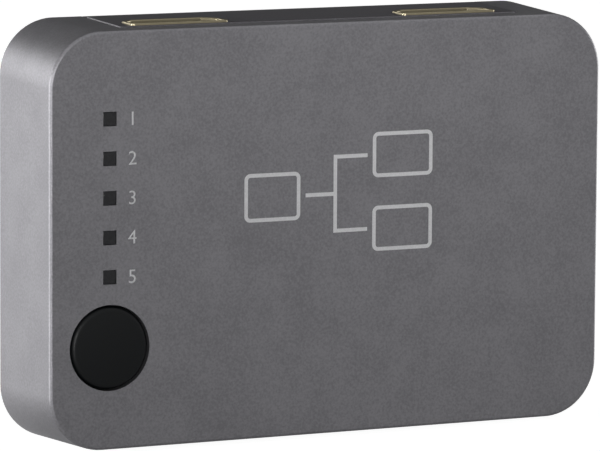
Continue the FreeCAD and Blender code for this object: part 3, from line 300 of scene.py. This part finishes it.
def finish_mesh(mesh, recalculate):
    """Merges doubles and shades smooth up to the crease angle. A built mesh gets its faces turned outwards. A
    CAD mesh gets its flat triangles joined, and faces with more than four corners cut again."""
    if mesh.has_custom_normals:
        mesh.attributes.remove(mesh.attributes["custom_normal"])
    work = bmesh.new()
    work.from_mesh(mesh)
    bmesh.ops.remove_doubles(work, verts=work.verts, dist=WELD)
    if recalculate:
        bmesh.ops.recalc_face_normals(work, faces=work.faces)
    else:
        bmesh.ops.dissolve_limit(work, angle_limit=FLAT, verts=work.verts, edges=work.edges)
        many_sided = [face for face in work.faces if len(face.verts) > 4]
        bmesh.ops.triangulate(work, faces=many_sided, ngon_method="EAR_CLIP")
    work.to_mesh(mesh)
    work.free()
    mesh.shade_smooth()
    mesh.set_sharp_from_angle(angle=CREASE)


def show(name, mesh, material, body, replaces=()):
    """Puts a mesh into the scene as a piece that rides on a body and stands for CAD nodes."""
    mesh.materials.clear()
    mesh.materials.append(material)
    piece = bpy.data.objects.new(name, mesh)
    bpy.context.scene.collection.objects.link(piece)
    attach(piece, body)
    if replaces:
        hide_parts(*replaces)
    return piece


def build(name, vertices, faces, material, body="case", slot=None, replaces=()):
    """A piece from worked-out vertices and faces."""
    mesh = bpy.data.meshes.new(name)
    mesh.from_pydata(np.asarray(vertices).tolist(), [], [list(face) for face in faces])
    finish_mesh(mesh, recalculate=True)
    return show(name, mesh, material, body, replaces)


def refine(node, rounding, material, body="case", sharp_zone=None):
    """A merged copy of a CAD node whose creased edges are rounded. Edges inside the sharp zone, a lowest and
    a highest corner, stay as they are."""
    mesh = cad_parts[node].data.copy()
    mesh.name = node + "_fine"
    finish_mesh(mesh, recalculate=False)
    ends = np.empty(len(mesh.edges) * 2, dtype=np.int32)
    mesh.edges.foreach_get("vertices", ends)
    places = np.empty(len(mesh.vertices) * 3)
    mesh.vertices.foreach_get("co", places)
    places = places.reshape(-1, 3)
    creased = np.empty(len(mesh.edges), dtype=bool)
    mesh.attributes["sharp_edge"].data.foreach_get("value", creased)
    if sharp_zone:
        low, high = sharp_zone
        inside = ((places > low) & (places < high)).all(axis=1)
        creased &= ~inside[ends.reshape(-1, 2)].all(axis=1)
    weights = mesh.attributes.new("bevel_weight_edge", "FLOAT", "EDGE")
    weights.data.foreach_set("value", creased.astype(np.float32))
    piece = show(node + "_fine", mesh, material, body, [node])
    bevel = piece.modifiers.new("rounded_edges", "BEVEL")
    bevel.width = rounding
    bevel.segments = 2
    bevel.limit_method = "WEIGHT"
    bevel.use_clamp_overlap = False
    normals = piece.modifiers.new("flat_faces", "WEIGHTED_NORMAL")
    normals.keep_sharp = True
    normals.weight = 100
    return piece


# Materials

def new_material(name):
    """An empty node material with a Principled shader on its output. Gives the material and the shader."""
    material = bpy.data.materials.new(name)
    material.use_nodes = True
    material.node_tree.nodes.clear()
    output = material.node_tree.nodes.new("ShaderNodeOutputMaterial")
    shader = material.node_tree.nodes.new("ShaderNodeBsdfPrincipled")
    material.node_tree.links.new(shader.outputs["BSDF"], output.inputs["Surface"])
    return material, shader


def add_node(material, kind, inputs=None, **settings):
    """Adds one node with its settings. inputs gives each socket a value or another node's output."""
    made = material.node_tree.nodes.new(kind)
    for name, value in settings.items():
        setattr(made, name, value)
    connect(material, made, inputs or {})
    return made


def connect(material, node, inputs):
    """Gives sockets of a node a value or another node's output."""
    for name, value in inputs.items():
        if isinstance(value, bpy.types.NodeSocket):
            material.node_tree.links.new(value, node.inputs[name])
        else:
            node.inputs[name].default_value = value


def per_metre(width):
    """Noise scale whose patches are about this wide."""
    return 1 / width


def noise(material, width, detail, **inputs):
    """Noise in the object's own coordinates whose patches are about this wide. Gives its output."""
    place = add_node(material, "ShaderNodeTexCoord")
    made = add_node(material, "ShaderNodeTexNoise", {
        "Vector": place.outputs["Object"], "Scale": per_metre(width), "Detail": detail, **inputs})
    return made.outputs["Fac"]


def finish_shader(material, shader, grain, mixed, shades, span, roughness, depth, strength):
    """Gives a shader two shades, dark and light, over the middle span of a mixed noise, and a roughness and
    dents that follow the grain."""
    ramp = add_node(material, "ShaderNodeValToRGB", {"Fac": mixed})
    for element, position, shade in zip(ramp.color_ramp.elements, (0.5 - span / 2, 0.5 + span / 2), shades):
        element.position = position
        element.color = opaque(shade)
    polish = add_node(material, "ShaderNodeMapRange", {
        "Value": grain, "To Min": roughness[0], "To Max": roughness[1]})
    dents = add_node(material, "ShaderNodeBump", {"Height": grain, "Distance": depth, "Strength": strength})
    connect(material, shader, {
        "Base Color": ramp.outputs["Color"], "Roughness": polish.outputs["Result"],
        "Normal": dents.outputs["Normal"]})


def grained(name, light, dark, width, depth, roughness, metallic=0.0, ior=1.5, gloss=0.5):
    """A surface with grains of two shades, dents as deep as depth, and a roughness that changes from grain to
    grain. Used for every cast, moulded or plated finish; a gloss of 0.5 is what the IOR gives."""
    material, shader = new_material(name)
    connect(material, shader, {"Metallic": metallic, "IOR": ior, "Specular IOR Level": gloss})
    grain = noise(material, width, 3.0, Roughness=0.6)
    finish_shader(material, shader, grain, grain, (dark, light), 0.3, roughness, depth, 1.0)
    return material


def blasted_aluminium(look):
    """Anodised aluminium, blasted with glass beads. It gives the eye a matt, cloudy grey with fine dents and
    soft highlights along its edges."""
    material, shader = new_material("anodised_aluminium_blasted")
    connect(material, shader, {"Metallic": 0.8, "IOR": 1.5})
    # Real dents are about 0.1 mm wide; they are drawn wider so that they show.
    grain = noise(material, look.grain, 2.0, Roughness=0.55)
    # Clouds about 6 mm wide, where the anodising bath took slightly differently
    clouds = noise(material, 6 * MM, 2.0)
    both = add_node(material, "ShaderNodeMix", {"Factor": 0.3, "A": grain, "B": clouds}, data_type="FLOAT")
    shades = look.aluminium_dark, look.aluminium
    finish_shader(material, shader, grain, both.outputs["Result"], shades, 0.28, (0.42, 0.56), 0.02 * MM, 0.7)
    return material


def pad_ink(look):
    """Pad-printed epoxy ink. It gives the eye a flat, slightly uneven light grey without shine."""
    return grained("pad_printed_ink", look.ink, dimmed(look.ink, 0.9), 0.25 * MM, 0.002 * MM, (0.6, 0.75))


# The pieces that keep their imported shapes. Each row has the material's name, its lighter and darker colour,
# the width and depth of its grain in millimetres, its roughness from and to, how metallic it is, its IOR, and
# its nodes.
INSIDE = [
    # Liquid-crystal polymer with glass fibre: dull black with pale flecks
    (("glass_filled_polymer", "1E1E1F", "121213", 0.2, 0.004, (0.45, 0.6), 0.0, 1.6),
     ["output_1_socket_insulator", "output_2_socket_insulator", "input_socket_insulator"]),
    # Hard gold on the contacts: a deep, clean yellow shine
    (("hard_gold", "E2B964", "CFA552", 0.3, 0.001, (0.16, 0.26), 1.0, 1.5),
     ["output_1_socket_contacts", "output_2_socket_contacts", "input_socket_contacts"]),
    # Black nylon, moulded: a soft, waxy black
    (("black_nylon", "202021", "151516", 0.3, 0.005, (0.4, 0.55), 0.0, 1.53),
     ["power_jack_housing", "light_guide_holder", "switch_base"]),
    # Tin plating: a bright, slightly cloudy grey metal
    (("tinned_steel", "C9C9C6", "ADADAB", 0.4, 0.003, (0.25, 0.4), 1.0, 1.5),
     ["power_jack_pin", "power_jack_spring", "switch_cover_plate", "switch_terminals", "splitter_chip_leads",
      "memory_chip_leads", "voltage_regulator_leads", "timing_crystal"]),
    # Zinc-plated board screws: a pale, bluish metal
    (("zinc_plated_steel", "B9BCC0", "9DA0A4", 0.3, 0.004, (0.3, 0.45), 1.0, 1.5), ["board_screws"]),
    # Solder mask over glass-fibre board: a satin green with the weave just showing
    (("solder_mask_green", "1F5A34", "17472A", 0.5, 0.006, (0.3, 0.42), 0.0, 1.55), ["main_board"]),
    # Filled epoxy of moulded chips and coils: a dull charcoal
    (("chip_epoxy", "2B2B2D", "1D1D1F", 0.12, 0.004, (0.5, 0.65), 0.0, 1.55),
     ["splitter_chip", "memory_chip", "voltage_regulator", "chip_resistors", "signal_protection_arrays",
      "power_inductor"]),
    # Black-anodised aluminium fins: a dark matt metal
    (("black_anodised_aluminium", "27272A", "1B1B1E", 0.2, 0.006, (0.45, 0.6), 0.4, 1.5), ["heat_sink"]),
    # Ceramic capacitor bodies: a fine-grained tan
    (("fired_ceramic", "A8855C", "8E6E4A", 0.15, 0.003, (0.5, 0.65), 0.0, 1.6), ["ceramic_capacitors"]),
    # Drawn aluminium cans: a clean, brushed silver
    (("drawn_aluminium", "D6D7DA", "BBBCC0", 0.3, 0.003, (0.25, 0.4), 1.0, 1.5), ["electrolytic_capacitors"]),
    # Silicone thermal pad: a soft, chalky blue-grey
    (("silicone_pad", "8D97A3", "7C8692", 0.4, 0.01, (0.75, 0.9), 0.0, 1.41), ["thermal_tape"]),
    # Polyester film: a smooth, dark sheet
    (("polyester_film", "1C1C1D", "151516", 0.8, 0.002, (0.2, 0.32), 0.0, 1.64), ["insulating_film"]),
    # White moulded nylon and diode lenses: a bright, slightly waxy white
    (("white_nylon", "E4E2DA", "D2CFC6", 0.4, 0.003, (0.35, 0.5), 0.0, 1.53),
     ["switch_plunger", "indicator_leds"]),
]


# Operators, one for each piece or group of like pieces

class SPLITTER_OT_case(bpy.types.Operator):
    """Front shell and rear cover in blasted aluminium, with softened edges"""

    bl_idname = "splitter.case"
    bl_label = "Case"

    def execute(self, context):
        look = context.scene.splitter_look.case
        aluminium = blasted_aluminium(look)
        # The windows and the button's hole are punched, so their edges stay crisp.
        holes = ((FACE_LEFT + 2 * MM, FACE - MM, 5 * MM),
                 (FACE_LEFT + 16 * MM, FACE + 2 * MM, 50 * MM))
        refine("front_shell", look.edge_rounding, aluminium, sharp_zone=holes)
        # The cover's screw seats are cut after the tumbling, so only its outline is softened.
        low, high = box_of("rear_cover")
        inset = np.array((2 * MM, -MM, 2 * MM))
        refine("rear_cover", look.edge_rounding, aluminium,
               sharp_zone=(low + inset, high - inset))
        return {"FINISHED"}


class SPLITTER_OT_port_panels(bpy.types.Operator):
    """Black moulded panels round the connectors"""

    bl_idname = "splitter.port_panels"
    bl_label = "Port panels"

    def execute(self, context):
        look = context.scene.splitter_look
        panel = tuple(look.plastic.panel)
        # Black ABS, moulded against a spark-eroded tool: dull and nearly black, with a fine leathery grain
        material = grained("black_abs_moulded", panel, dimmed(panel, 0.75), 0.3 * MM, 0.006 * MM,
                           (0.42, 0.56), ior=1.54)
        for node in ("top_port_panel", "bottom_port_panel"):
            refine(node, look.case.edge_rounding, material)
        return {"FINISHED"}


class SPLITTER_OT_receptacles(bpy.types.Operator):
    """Gold-plated receptacle shells of folded sheet metal, with rounded lips, spring leaves and board pegs"""

    bl_idname = "splitter.receptacles"
    bl_label = "Receptacles"

    def execute(self, context):
        look = context.scene.splitter_look.socket
        gold = tuple(look.gold)
        # Gold flash over nickel-plated steel: a warm, pale, slightly cloudy shine
        plating = grained("gold_flashed_steel", gold, dimmed(gold, 0.9), 0.8 * MM, 0.001 * MM, (0.34, 0.42),
                          metallic=0.8)
        mouths = {"output_1_socket_shell": 1, "output_2_socket_shell": 1, "input_socket_shell": -1}
        for node, up in mouths.items():
            vertices, faces = self.shell(look, node, up)
            build(node + "_fine", vertices, faces, plating, slot="gold_plated_steel", replaces=[node])
        return {"FINISHED"}

    def shell(self, look, node, up):
        """The six-cornered outline carries the section of the sheet with its rounded lip. Leaves and pegs are
        prisms. Heights run up from the mouth, and up turns the input's shell over."""
        low, high = box_of(node)
        middle = (low[0] + high[0]) / 2
        side = (high[0] - low[0]) / 2
        front = low[1]
        back = front + 5.25 * MM
        mouth = high[2] if up > 0 else low[2]
        sheet, length = 0.35 * MM, 11.5 * MM
        cut_across, cut_deep = 1.9 * MM, 1.7 * MM
        inner_lip, rear_lip = 0.2 * MM, 0.03 * MM
        corners = [(-side, front), (side, front), (side, back - cut_deep), (side - cut_across, back),
                   (cut_across - side, back), (-side, back - cut_deep)]
        outline, normals = rounded(corners, look.corner_rounding, steps=7)
        section, _ = rounded([(-sheet, -length), (0, -length), (0, 0), (-sheet, 0)],
                             [rear_lip, rear_lip, look.lip_rounding, inner_lip], steps=5)
        parts = [carried(outline, normals, section)]
        leaf_places = (-3.4 * MM, 3.4 * MM)
        parts += [self.leaf(across, wall, inwards) for across in leaf_places
                  for wall, inwards in ((front + sheet, 1), (back - sheet, -1))]
        peg_front, peg_back, peg_half = back - cut_deep, high[1], 0.6 * MM
        for height in (-5.2 * MM, -10.0 * MM):
            peg = np.array(box_corners(peg_front, peg_back, height - peg_half, height + peg_half))
            for left in (-side, side - sheet):
                vertices, faces = prism(peg, left, left + sheet)
                parts.append((vertices[:, [2, 0, 1]], faces))
        vertices, faces = joined(parts)
        vertices = vertices * (1, 1, up) + (middle, 0, mouth)
        return vertices, faces

    def leaf(self, across, wall, inwards):
        """A spring leaf: a strip that leaves the wall by a sine-squared bulge, then bends back to it."""
        start, length, half_width, thickness = 1.3 * MM, 6.2 * MM, 1.1 * MM, 0.18 * MM
        gap, rise = 0.02 * MM, 0.5 * MM
        share = np.linspace(0, 1, 15)
        height = -start - share * length
        bulge = gap + rise * np.sin(math.pi * share) ** 2
        near = np.stack([wall + inwards * bulge, height], axis=1)
        far = np.stack([wall + inwards * (bulge + thickness), height], axis=1)
        vertices, faces = prism(np.concatenate([near, far[::-1]]), across - half_width, across + half_width)
        return vertices[:, [2, 0, 1]], faces


class SPLITTER_OT_windows(bpy.types.Operator):
    """Smoked ends of the light guide in the indicator windows"""

    bl_idname = "splitter.windows"
    bl_label = "Indicator windows"

    def execute(self, context):
        look = context.scene.splitter_look.plastic
        window = tuple(look.window)
        # Smoked polycarbonate, moulded: a glossy, nearly black square with a faint cloud of the diffuser
        smoked = grained("smoked_polycarbonate", window, dimmed(window, 0.7), 0.6 * MM, 0.001 * MM,
                         (0.16, 0.26), ior=1.585, gloss=0.3)
        refine("light_guide", 0.06 * MM, smoked)
        return {"FINISHED"}


class SPLITTER_OT_button(bpy.types.Operator):
    """Domed satin push button"""

    bl_idname = "splitter.button"
    bl_label = "Push button"

    def execute(self, context):
        look = context.scene.splitter_look.plastic
        black = tuple(look.button)
        # Black ABS with a satin, spark-eroded crown: dark, with a broad, weak sheen
        satin = grained("satin_black_abs", black, dimmed(black, 0.7), 0.28 * MM, 0.004 * MM, (0.36, 0.48),
                        gloss=0.26)
        low, high = box_of("button_cap")
        middle = (low + high) / 2
        flange_width = 0.575 * MM
        flange = (high[0] - low[0]) / 2
        profile = self.profile(look.button_rounding, flange - flange_width, flange, low[1], high[1])
        vertices, faces = turned(profile, 128)
        build("button_cap_fine", vertices + (middle[0], 0, middle[2]), faces, satin, body="button",
              slot="button_plastic", replaces=["button_cap"])
        return {"FINISHED"}

    def profile(self, rounding, radius, flange, front, back):
        """Crown, rim, skirt, flange, hollow and stem, as (radius, depth). The crown's depth grows with the
        radius squared, up to the rise of the dome at the full radius. The rim is a quarter circle."""
        inner = radius - rounding
        crown_radius = np.linspace(0, 1, 24) * inner
        crown = np.stack([crown_radius, front + BUTTON_RISE * (crown_radius / radius) ** 2], axis=1)
        edge = crown[-1, 1]
        angle = np.linspace(0, math.pi / 2, 10)[1:]
        rim = np.stack([inner + rounding * np.sin(angle), edge + rounding * (1 - np.cos(angle))], axis=1)
        flange_front, flange_back = FACE + 1.55 * MM, FACE + 2.35 * MM
        hollow, hollow_top, stem = radius - 1.2 * MM, FACE + 1.2 * MM, 2.0 * MM
        rest = [(radius, flange_front), (flange, flange_front), (flange, flange_back), (hollow, flange_back),
                (hollow, hollow_top), (stem, hollow_top), (stem, back), (0, back)]
        return np.concatenate([crown, rim, rest])


class SPLITTER_OT_snap_dome(bpy.types.Operator):
    """Snap dome of the switch, built at full height, as before the plunger presses it"""

    bl_idname = "splitter.snap_dome"
    bl_label = "Snap dome"

    def execute(self, context):
        # Rolled stainless spring steel: a pale, slightly warm metal with a soft shine
        steel = grained("stainless_spring_steel", linear("C6C4BF"), linear("B3B1AC"), 0.3 * MM, 0.001 * MM,
                        (0.22, 0.34), metallic=1.0)
        low, high = box_of("switch_dome")
        middle = (low + high) / 2
        vertices, faces = turned(self.profile((high[0] - low[0]) / 2, low[1], high[1]), 48)
        dome = build("switch_dome_fine", vertices + (middle[0], 0, middle[2]), faces, steel,
                     slot="tinned_metal", replaces=["switch_dome"])
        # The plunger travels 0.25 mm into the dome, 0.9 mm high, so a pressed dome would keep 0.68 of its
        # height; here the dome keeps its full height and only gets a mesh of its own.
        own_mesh(dome)
        return {"FINISHED"}

    def profile(self, radius, top, seat):
        """Outer and inner face of the pressed sheet, as (radius, depth). The depth grows with the radius
        squared."""
        sheet = 0.1 * MM
        share = np.linspace(0, 1, 14)
        outer = np.stack([share * radius, top + (seat - top) * share ** 2], axis=1)
        inner_top = top + sheet
        inner = np.stack([share * (radius - sheet), inner_top + (seat - inner_top) * share ** 2], axis=1)
        return np.concatenate([outer, inner[::-1]])


class SPLITTER_OT_underside(bpy.types.Operator):
    """Rubber feet and cover screws on the back"""

    bl_idname = "splitter.underside"
    bl_label = "Feet and screws"

    def execute(self, context):
        # Black rubber, moulded and dull: no shine, with a fine powdery grain
        rubber = grained("moulded_rubber", linear("2C2C2C"), linear("1F1F20"), 0.35 * MM, 0.01 * MM,
                         (0.75, 0.92), ior=1.52)
        low, high = box_of("rubber_feet")
        radius = 4.0 * MM
        vertices, faces = turned(self.foot(radius, low[1], high[1]), 96)
        feet = joined([(vertices + (x, 0, z), faces) for x in (low[0] + radius, high[0] - radius)
                       for z in (low[2] + radius, high[2] - radius)])
        build("rubber_feet_fine", *feet, rubber, slot="rubber", replaces=["rubber_feet"])
        # Black-nickelled steel screws: dark metal with a soft shine
        screws = grained("black_nickelled_steel", linear("6E6C6A"), linear("4C4B4A"), 0.2 * MM, 0.003 * MM,
                         (0.3, 0.42), metallic=1.0)
        refine("cover_screws", 0.04 * MM, screws)
        return {"FINISHED"}

    def foot(self, radius, seat, end):
        """A disc with a quarter-circle rim and a shallow dish in its end, as (radius, depth). The dish gets
        shallower with the radius squared."""
        rounding, dish_radius, dish_depth = 0.4 * MM, 2.6 * MM, 0.12 * MM
        share = np.linspace(0, 1, 10)
        dish = np.stack([share * dish_radius, end - dish_depth * (1 - share ** 2)], axis=1)
        inner = radius - rounding
        angle = np.linspace(0, math.pi / 2, 8)
        rim = np.stack([inner + rounding * np.sin(angle), end - rounding * (1 - np.cos(angle))], axis=1)
        return np.concatenate([dish, rim, [(radius, seat), (0, seat)]])


class SPLITTER_OT_face_print(bpy.types.Operator):
    """Plain numerals beside the windows and a plain one-to-two diagram"""

    bl_idname = "splitter.face_print"
    bl_label = "Printed marks"

    def execute(self, context):
        look = context.scene.splitter_look.case
        ink = pad_ink(look)
        self.print_numerals(look, ink)
        self.print_diagram(ink)
        return {"FINISHED"}

    def print_numerals(self, look, ink):
        """One numeral beside each window, made a mesh and then moved to the face."""
        windows, first, pitch, across = 5, 46.30 * MM, 5.45 * MM, -30.9 * MM
        height_per_size = 0.7    # height of a numeral in Blender's own font, by the font's size
        upright = Matrix.Rotation(math.pi / 2, 4, "X")
        meshes = []
        for number in range(windows):
            curve = bpy.data.curves.new("numeral", "FONT")
            curve.body = str(number + 1)
            curve.size = look.numeral_height / height_per_size
            curve.extrude = PRINT_LIFT / 2
            holder = bpy.data.objects.new("numeral", curve)
            mesh = bpy.data.meshes.new_from_object(holder)
            foot = first - number * pitch - look.numeral_height / 2
            mesh.transform(Matrix.Translation((across, FACE - PRINT_LIFT / 2, foot)) @ upright)
            meshes.append(mesh)
            bpy.data.objects.remove(holder)
            bpy.data.curves.remove(curve)
        work = bmesh.new()
        for mesh in meshes:
            work.from_mesh(mesh)
            bpy.data.meshes.remove(mesh)
        numerals = bpy.data.meshes.new("printed_numerals")
        work.to_mesh(numerals)
        work.free()
        show("printed_numerals", numerals, ink, "case")

    def print_diagram(self, ink):
        """A source box, a line that forks and two screens, as flat prisms. Places run from the face's top
        left corner."""
        stroke = 0.55 * MM
        half = stroke / 2
        frames = ((29.2, 20.6, 8.6, 6.8), (49.0, 15.6, 9.4, 6.4), (49.0, 26.0, 9.4, 6.4))
        parts = [self.frame_mark(*sizes, stroke) for sizes in frames]
        start, fork, end = 38.6 * MM, 43.2 * MM, 48.2 * MM
        upper, middle, lower = -18.8 * MM, -24.0 * MM, -29.2 * MM
        line = [(start, middle - half), (fork - half, middle - half), (fork - half, lower - half),
                (end, lower - half), (end, lower + half), (fork + half, lower + half),
                (fork + half, upper - half), (end, upper - half), (end, upper + half),
                (fork - half, upper + half), (fork - half, middle + half), (start, middle + half)]
        parts.append(prism(np.array(line), 0, PRINT_LIFT))
        vertices, faces = joined(parts)
        across, up, lift = vertices.T
        placed = np.stack([FACE_LEFT + across, FACE - lift, FACE_TOP + up], axis=1)
        build("printed_diagram", placed, faces, ink)

    def frame_mark(self, left, top, width, height, stroke):
        """A rounded frame, its sizes in millimetres: its outline carries a flat section."""
        corners = np.array(box_corners(left, left + width, -top - height, -top)) * MM
        corner_radius = 0.9 * MM
        outline, normals = rounded(corners, corner_radius, steps=8)
        section = np.array([(-stroke, 0), (0, 0), (0, PRINT_LIFT), (-stroke, PRINT_LIFT)])
        return carried(outline, normals, section)


class SPLITTER_OT_inside(bpy.types.Operator):
    """Finishes of the pieces inside the case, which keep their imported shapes"""

    bl_idname = "splitter.inside"
    bl_label = "Inside"

    def execute(self, context):
        for (name, light, dark, width, depth, roughness, metallic, ior), nodes in INSIDE:
            material = grained(name, linear(light), linear(dark), width * MM, depth * MM, roughness,
                               metallic=metallic, ior=ior)
            for node in nodes:
                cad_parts[node].data.materials.clear()
                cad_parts[node].data.materials.append(material)
        return {"FINISHED"}


class SPLITTER_OT_stage(bpy.types.Operator):
    """Pale floor, white surroundings, soft boxes and the camera"""

    bl_idname = "splitter.stage"
    bl_label = "Stage"

    def execute(self, context):
        look = context.scene.splitter_look.studio
        self.lay_floor(look)
        self.light_room(context.scene, look)
        centre = (CAD_BOX[0] + CAD_BOX[1]) / 2
        # A grid keeps the front lamp's light on the upper right of the face.
        upper_right, grid = (0.04, -0.008, 0.092), math.radians(20)
        self.hang_lamp("left_lamp", look.left_lamp, (-1.29, 0.05, 0.07), centre, side=0.3)
        self.hang_lamp("front_lamp", look.front_lamp, (-0.45, -0.80, 0.10), upper_right, side=0.12,
                       spread=grid)
        self.hang_lamp("rear_lamp", look.rear_lamp, (-0.6, 1.15, 0.23), centre, side=0.56)
        self.hang_lamp("right_lamp", look.right_lamp, (1.2, 0.1, 0.13), centre, side=0.24)
        self.hang_lamp("top_lamp", look.top_lamp, (0.52, -0.13, 1.04), centre, side=0.3)
        self.set_camera(context.scene, look)
        context.scene.view_settings.view_transform = "Standard"
        return {"FINISHED"}

    def math_node(self, tree, operation, first, second):
        """The output of a math node, such as a product or the larger of two values."""
        return add_node(tree, "ShaderNodeMath", {0: first, 1: second}, operation=operation).outputs["Value"]

    def graded(self, tree, value, span, ends):
        """The first end's value before a span, the second end's after it, and a straight change between."""
        return add_node(tree, "ShaderNodeMapRange", {
            "Value": value, "From Min": span[0], "From Max": span[1], "To Min": ends[0],
            "To Max": ends[1]}).outputs["Result"]

    def seen_white(self, tree, share):
        """How much of the white surroundings a ray sees: all of it from the camera and through glass, and the
        given share of it in a gloss."""
        rays = add_node(tree, "ShaderNodeLightPath").outputs
        gloss = self.math_node(tree, "MULTIPLY", rays["Is Glossy Ray"], share)
        clear = self.math_node(tree, "MAXIMUM", rays["Is Camera Ray"], rays["Is Transmission Ray"])
        return self.math_node(tree, "MAXIMUM", clear, gloss)

    def lay_floor(self, look):
        """A flat sheet of pale paper that looks white where no shadow falls. A gloss sees it whole behind the
        object and dimmer in front, as the photographed face and button do."""
        reach = 6.0
        in_front, behind = (-0.4, 0.0), (0.0, 0.03)    # spans of Y in which the share changes
        glow_strength = 0.95
        mesh = bpy.data.meshes.new("floor")
        mesh.from_pydata([(-reach, -reach, 0), (reach, -reach, 0), (reach, reach, 0), (-reach, reach, 0)], [],
                         [(0, 1, 2, 3)])
        material = bpy.data.materials.new("white_paper")
        material.use_nodes = True
        material.node_tree.nodes.clear()
        output = add_node(material, "ShaderNodeOutputMaterial")
        paper = add_node(material, "ShaderNodeBsdfDiffuse", {"Color": opaque(look.floor)})
        place = add_node(material, "ShaderNodeTexCoord")
        axes = add_node(material, "ShaderNodeSeparateXYZ", {"Vector": place.outputs["Object"]})
        depth = axes.outputs["Y"]
        front = self.graded(material, depth, in_front, (look.far_floor_share, look.near_floor_share))
        share = self.graded(material, depth, behind, (front, 1.0))
        seen = self.seen_white(material, share)
        glow = add_node(material, "ShaderNodeEmission", {
            "Color": WHITE, "Strength": self.math_node(material, "MULTIPLY", seen, glow_strength)})
        both = add_node(material, "ShaderNodeAddShader", {
            0: paper.outputs["BSDF"], 1: glow.outputs["Emission"]})
        connect(material, output, {"Surface": both.outputs["Shader"]})
        mesh.materials.append(material)
        floor = bpy.data.objects.new("floor", mesh)
        bpy.context.scene.collection.objects.link(floor)

    def light_room(self, scene, look):
        """Even room light, round which the camera, a gloss or a glass sees white. A gloss sees it whole
        overhead, less in front, and hardly behind, because the photograph's top side mirrors a dim room
        there."""
        # Spans of the direction's Y and of its Z in which the share changes
        front_to_back, overhead = (-0.2, 0.2), (0.92, 0.97)
        world = bpy.data.worlds.new("studio")
        scene.world = world
        world.use_nodes = True
        world.node_tree.nodes.clear()
        output = add_node(world, "ShaderNodeOutputWorld")
        room = add_node(world, "ShaderNodeBackground", {"Color": WHITE, "Strength": look.room_light})
        white = add_node(world, "ShaderNodeBackground", {"Color": WHITE, "Strength": 1.0})
        place = add_node(world, "ShaderNodeTexCoord")
        direction = add_node(world, "ShaderNodeSeparateXYZ", {"Vector": place.outputs["Generated"]})
        shares = look.front_share, look.horizon_share
        horizon = self.graded(world, direction.outputs["Y"], front_to_back, shares)
        share = self.graded(world, direction.outputs["Z"], overhead, (horizon, 1.0))
        mixed = add_node(world, "ShaderNodeMixShader", {
            "Fac": self.seen_white(world, share), 1: room.outputs["Background"],
            2: white.outputs["Background"]})
        connect(world, output, {"Surface": mixed.outputs["Shader"]})

    def hang_lamp(self, name, power, place, target, side, spread=math.pi):
        """A square soft box that faces a target; a grid in front of it narrows the spread of its light."""
        lamp = bpy.data.lights.new(name, "AREA")
        lamp.energy = power
        lamp.size = side
        lamp.spread = spread
        holder = bpy.data.objects.new(name, lamp)
        holder.location = place
        holder.rotation_euler = (Vector(target) - holder.location).to_track_quat("-Z", "Y").to_euler()
        bpy.context.scene.collection.objects.link(holder)

    def set_camera(self, scene, look):
        """The photograph's camera: its lens and place, and its right, up and backward directions."""
        camera = bpy.data.cameras.new("camera")
        camera.lens, camera.sensor_width = look.lens, 36
        camera.clip_start, camera.clip_end = 0.05, 50
        holder = bpy.data.objects.new("camera", camera)
        place = (-0.31918, -0.66023, 0.12521)
        right = (0.9009781, -0.43382719, 0.00569543)
        up = (0.05140376, 0.11977237, 0.99146973)
        back = (-0.43080868, -0.89299975, 0.13021263)
        turn = Matrix((right, up, back)).transposed().to_4x4()
        holder.matrix_world = Matrix.Translation(place) @ turn
        scene.collection.objects.link(holder)
        scene.camera = holder


class SPLITTER_PT_panel(bpy.types.Panel):
    """Sizes, colours and steps in the sidebar"""

    bl_idname = "SPLITTER_PT_panel"
    bl_label = "Video splitter"
    bl_space_type = "VIEW_3D"
    bl_region_type = "UI"
    bl_category = "Splitter"

    def draw(self, context):
        look = context.scene.splitter_look
        for group in (look.case, look.plastic, look.socket, look.studio):
            column = self.layout.column()
            for name in group.bl_rna.properties.keys():
                if name not in ("rna_type", "name"):
                    column.prop(group, name)
        for step in STEPS:
            self.layout.operator("splitter." + step)


# The operators, in the order in which they dress the part
OPERATORS = (
    SPLITTER_OT_case, SPLITTER_OT_port_panels, SPLITTER_OT_receptacles, SPLITTER_OT_windows,
    SPLITTER_OT_button, SPLITTER_OT_snap_dome, SPLITTER_OT_underside, SPLITTER_OT_face_print,
    SPLITTER_OT_inside, SPLITTER_OT_stage,
)
STEPS = [kind.bl_idname.partition(".")[2] for kind in OPERATORS]
CLASSES = (CaseLook, PlasticLook, SocketLook, StudioLook, SplitterLook, *OPERATORS, SPLITTER_PT_panel)


def register():
    """Registers the classes and the look that hangs on the scene."""
    for kind in CLASSES:
        bpy.utils.register_class(kind)
    bpy.types.Scene.splitter_look = PointerProperty(type=SplitterLook)


def unregister():
    """Takes away what register made."""
    del bpy.types.Scene.splitter_look
    for kind in reversed(CLASSES):
        bpy.utils.unregister_class(kind)


def main():
    register()
    for step in STEPS:
        getattr(bpy.ops.splitter, step)()


if __name__ == "__main__":
    main()
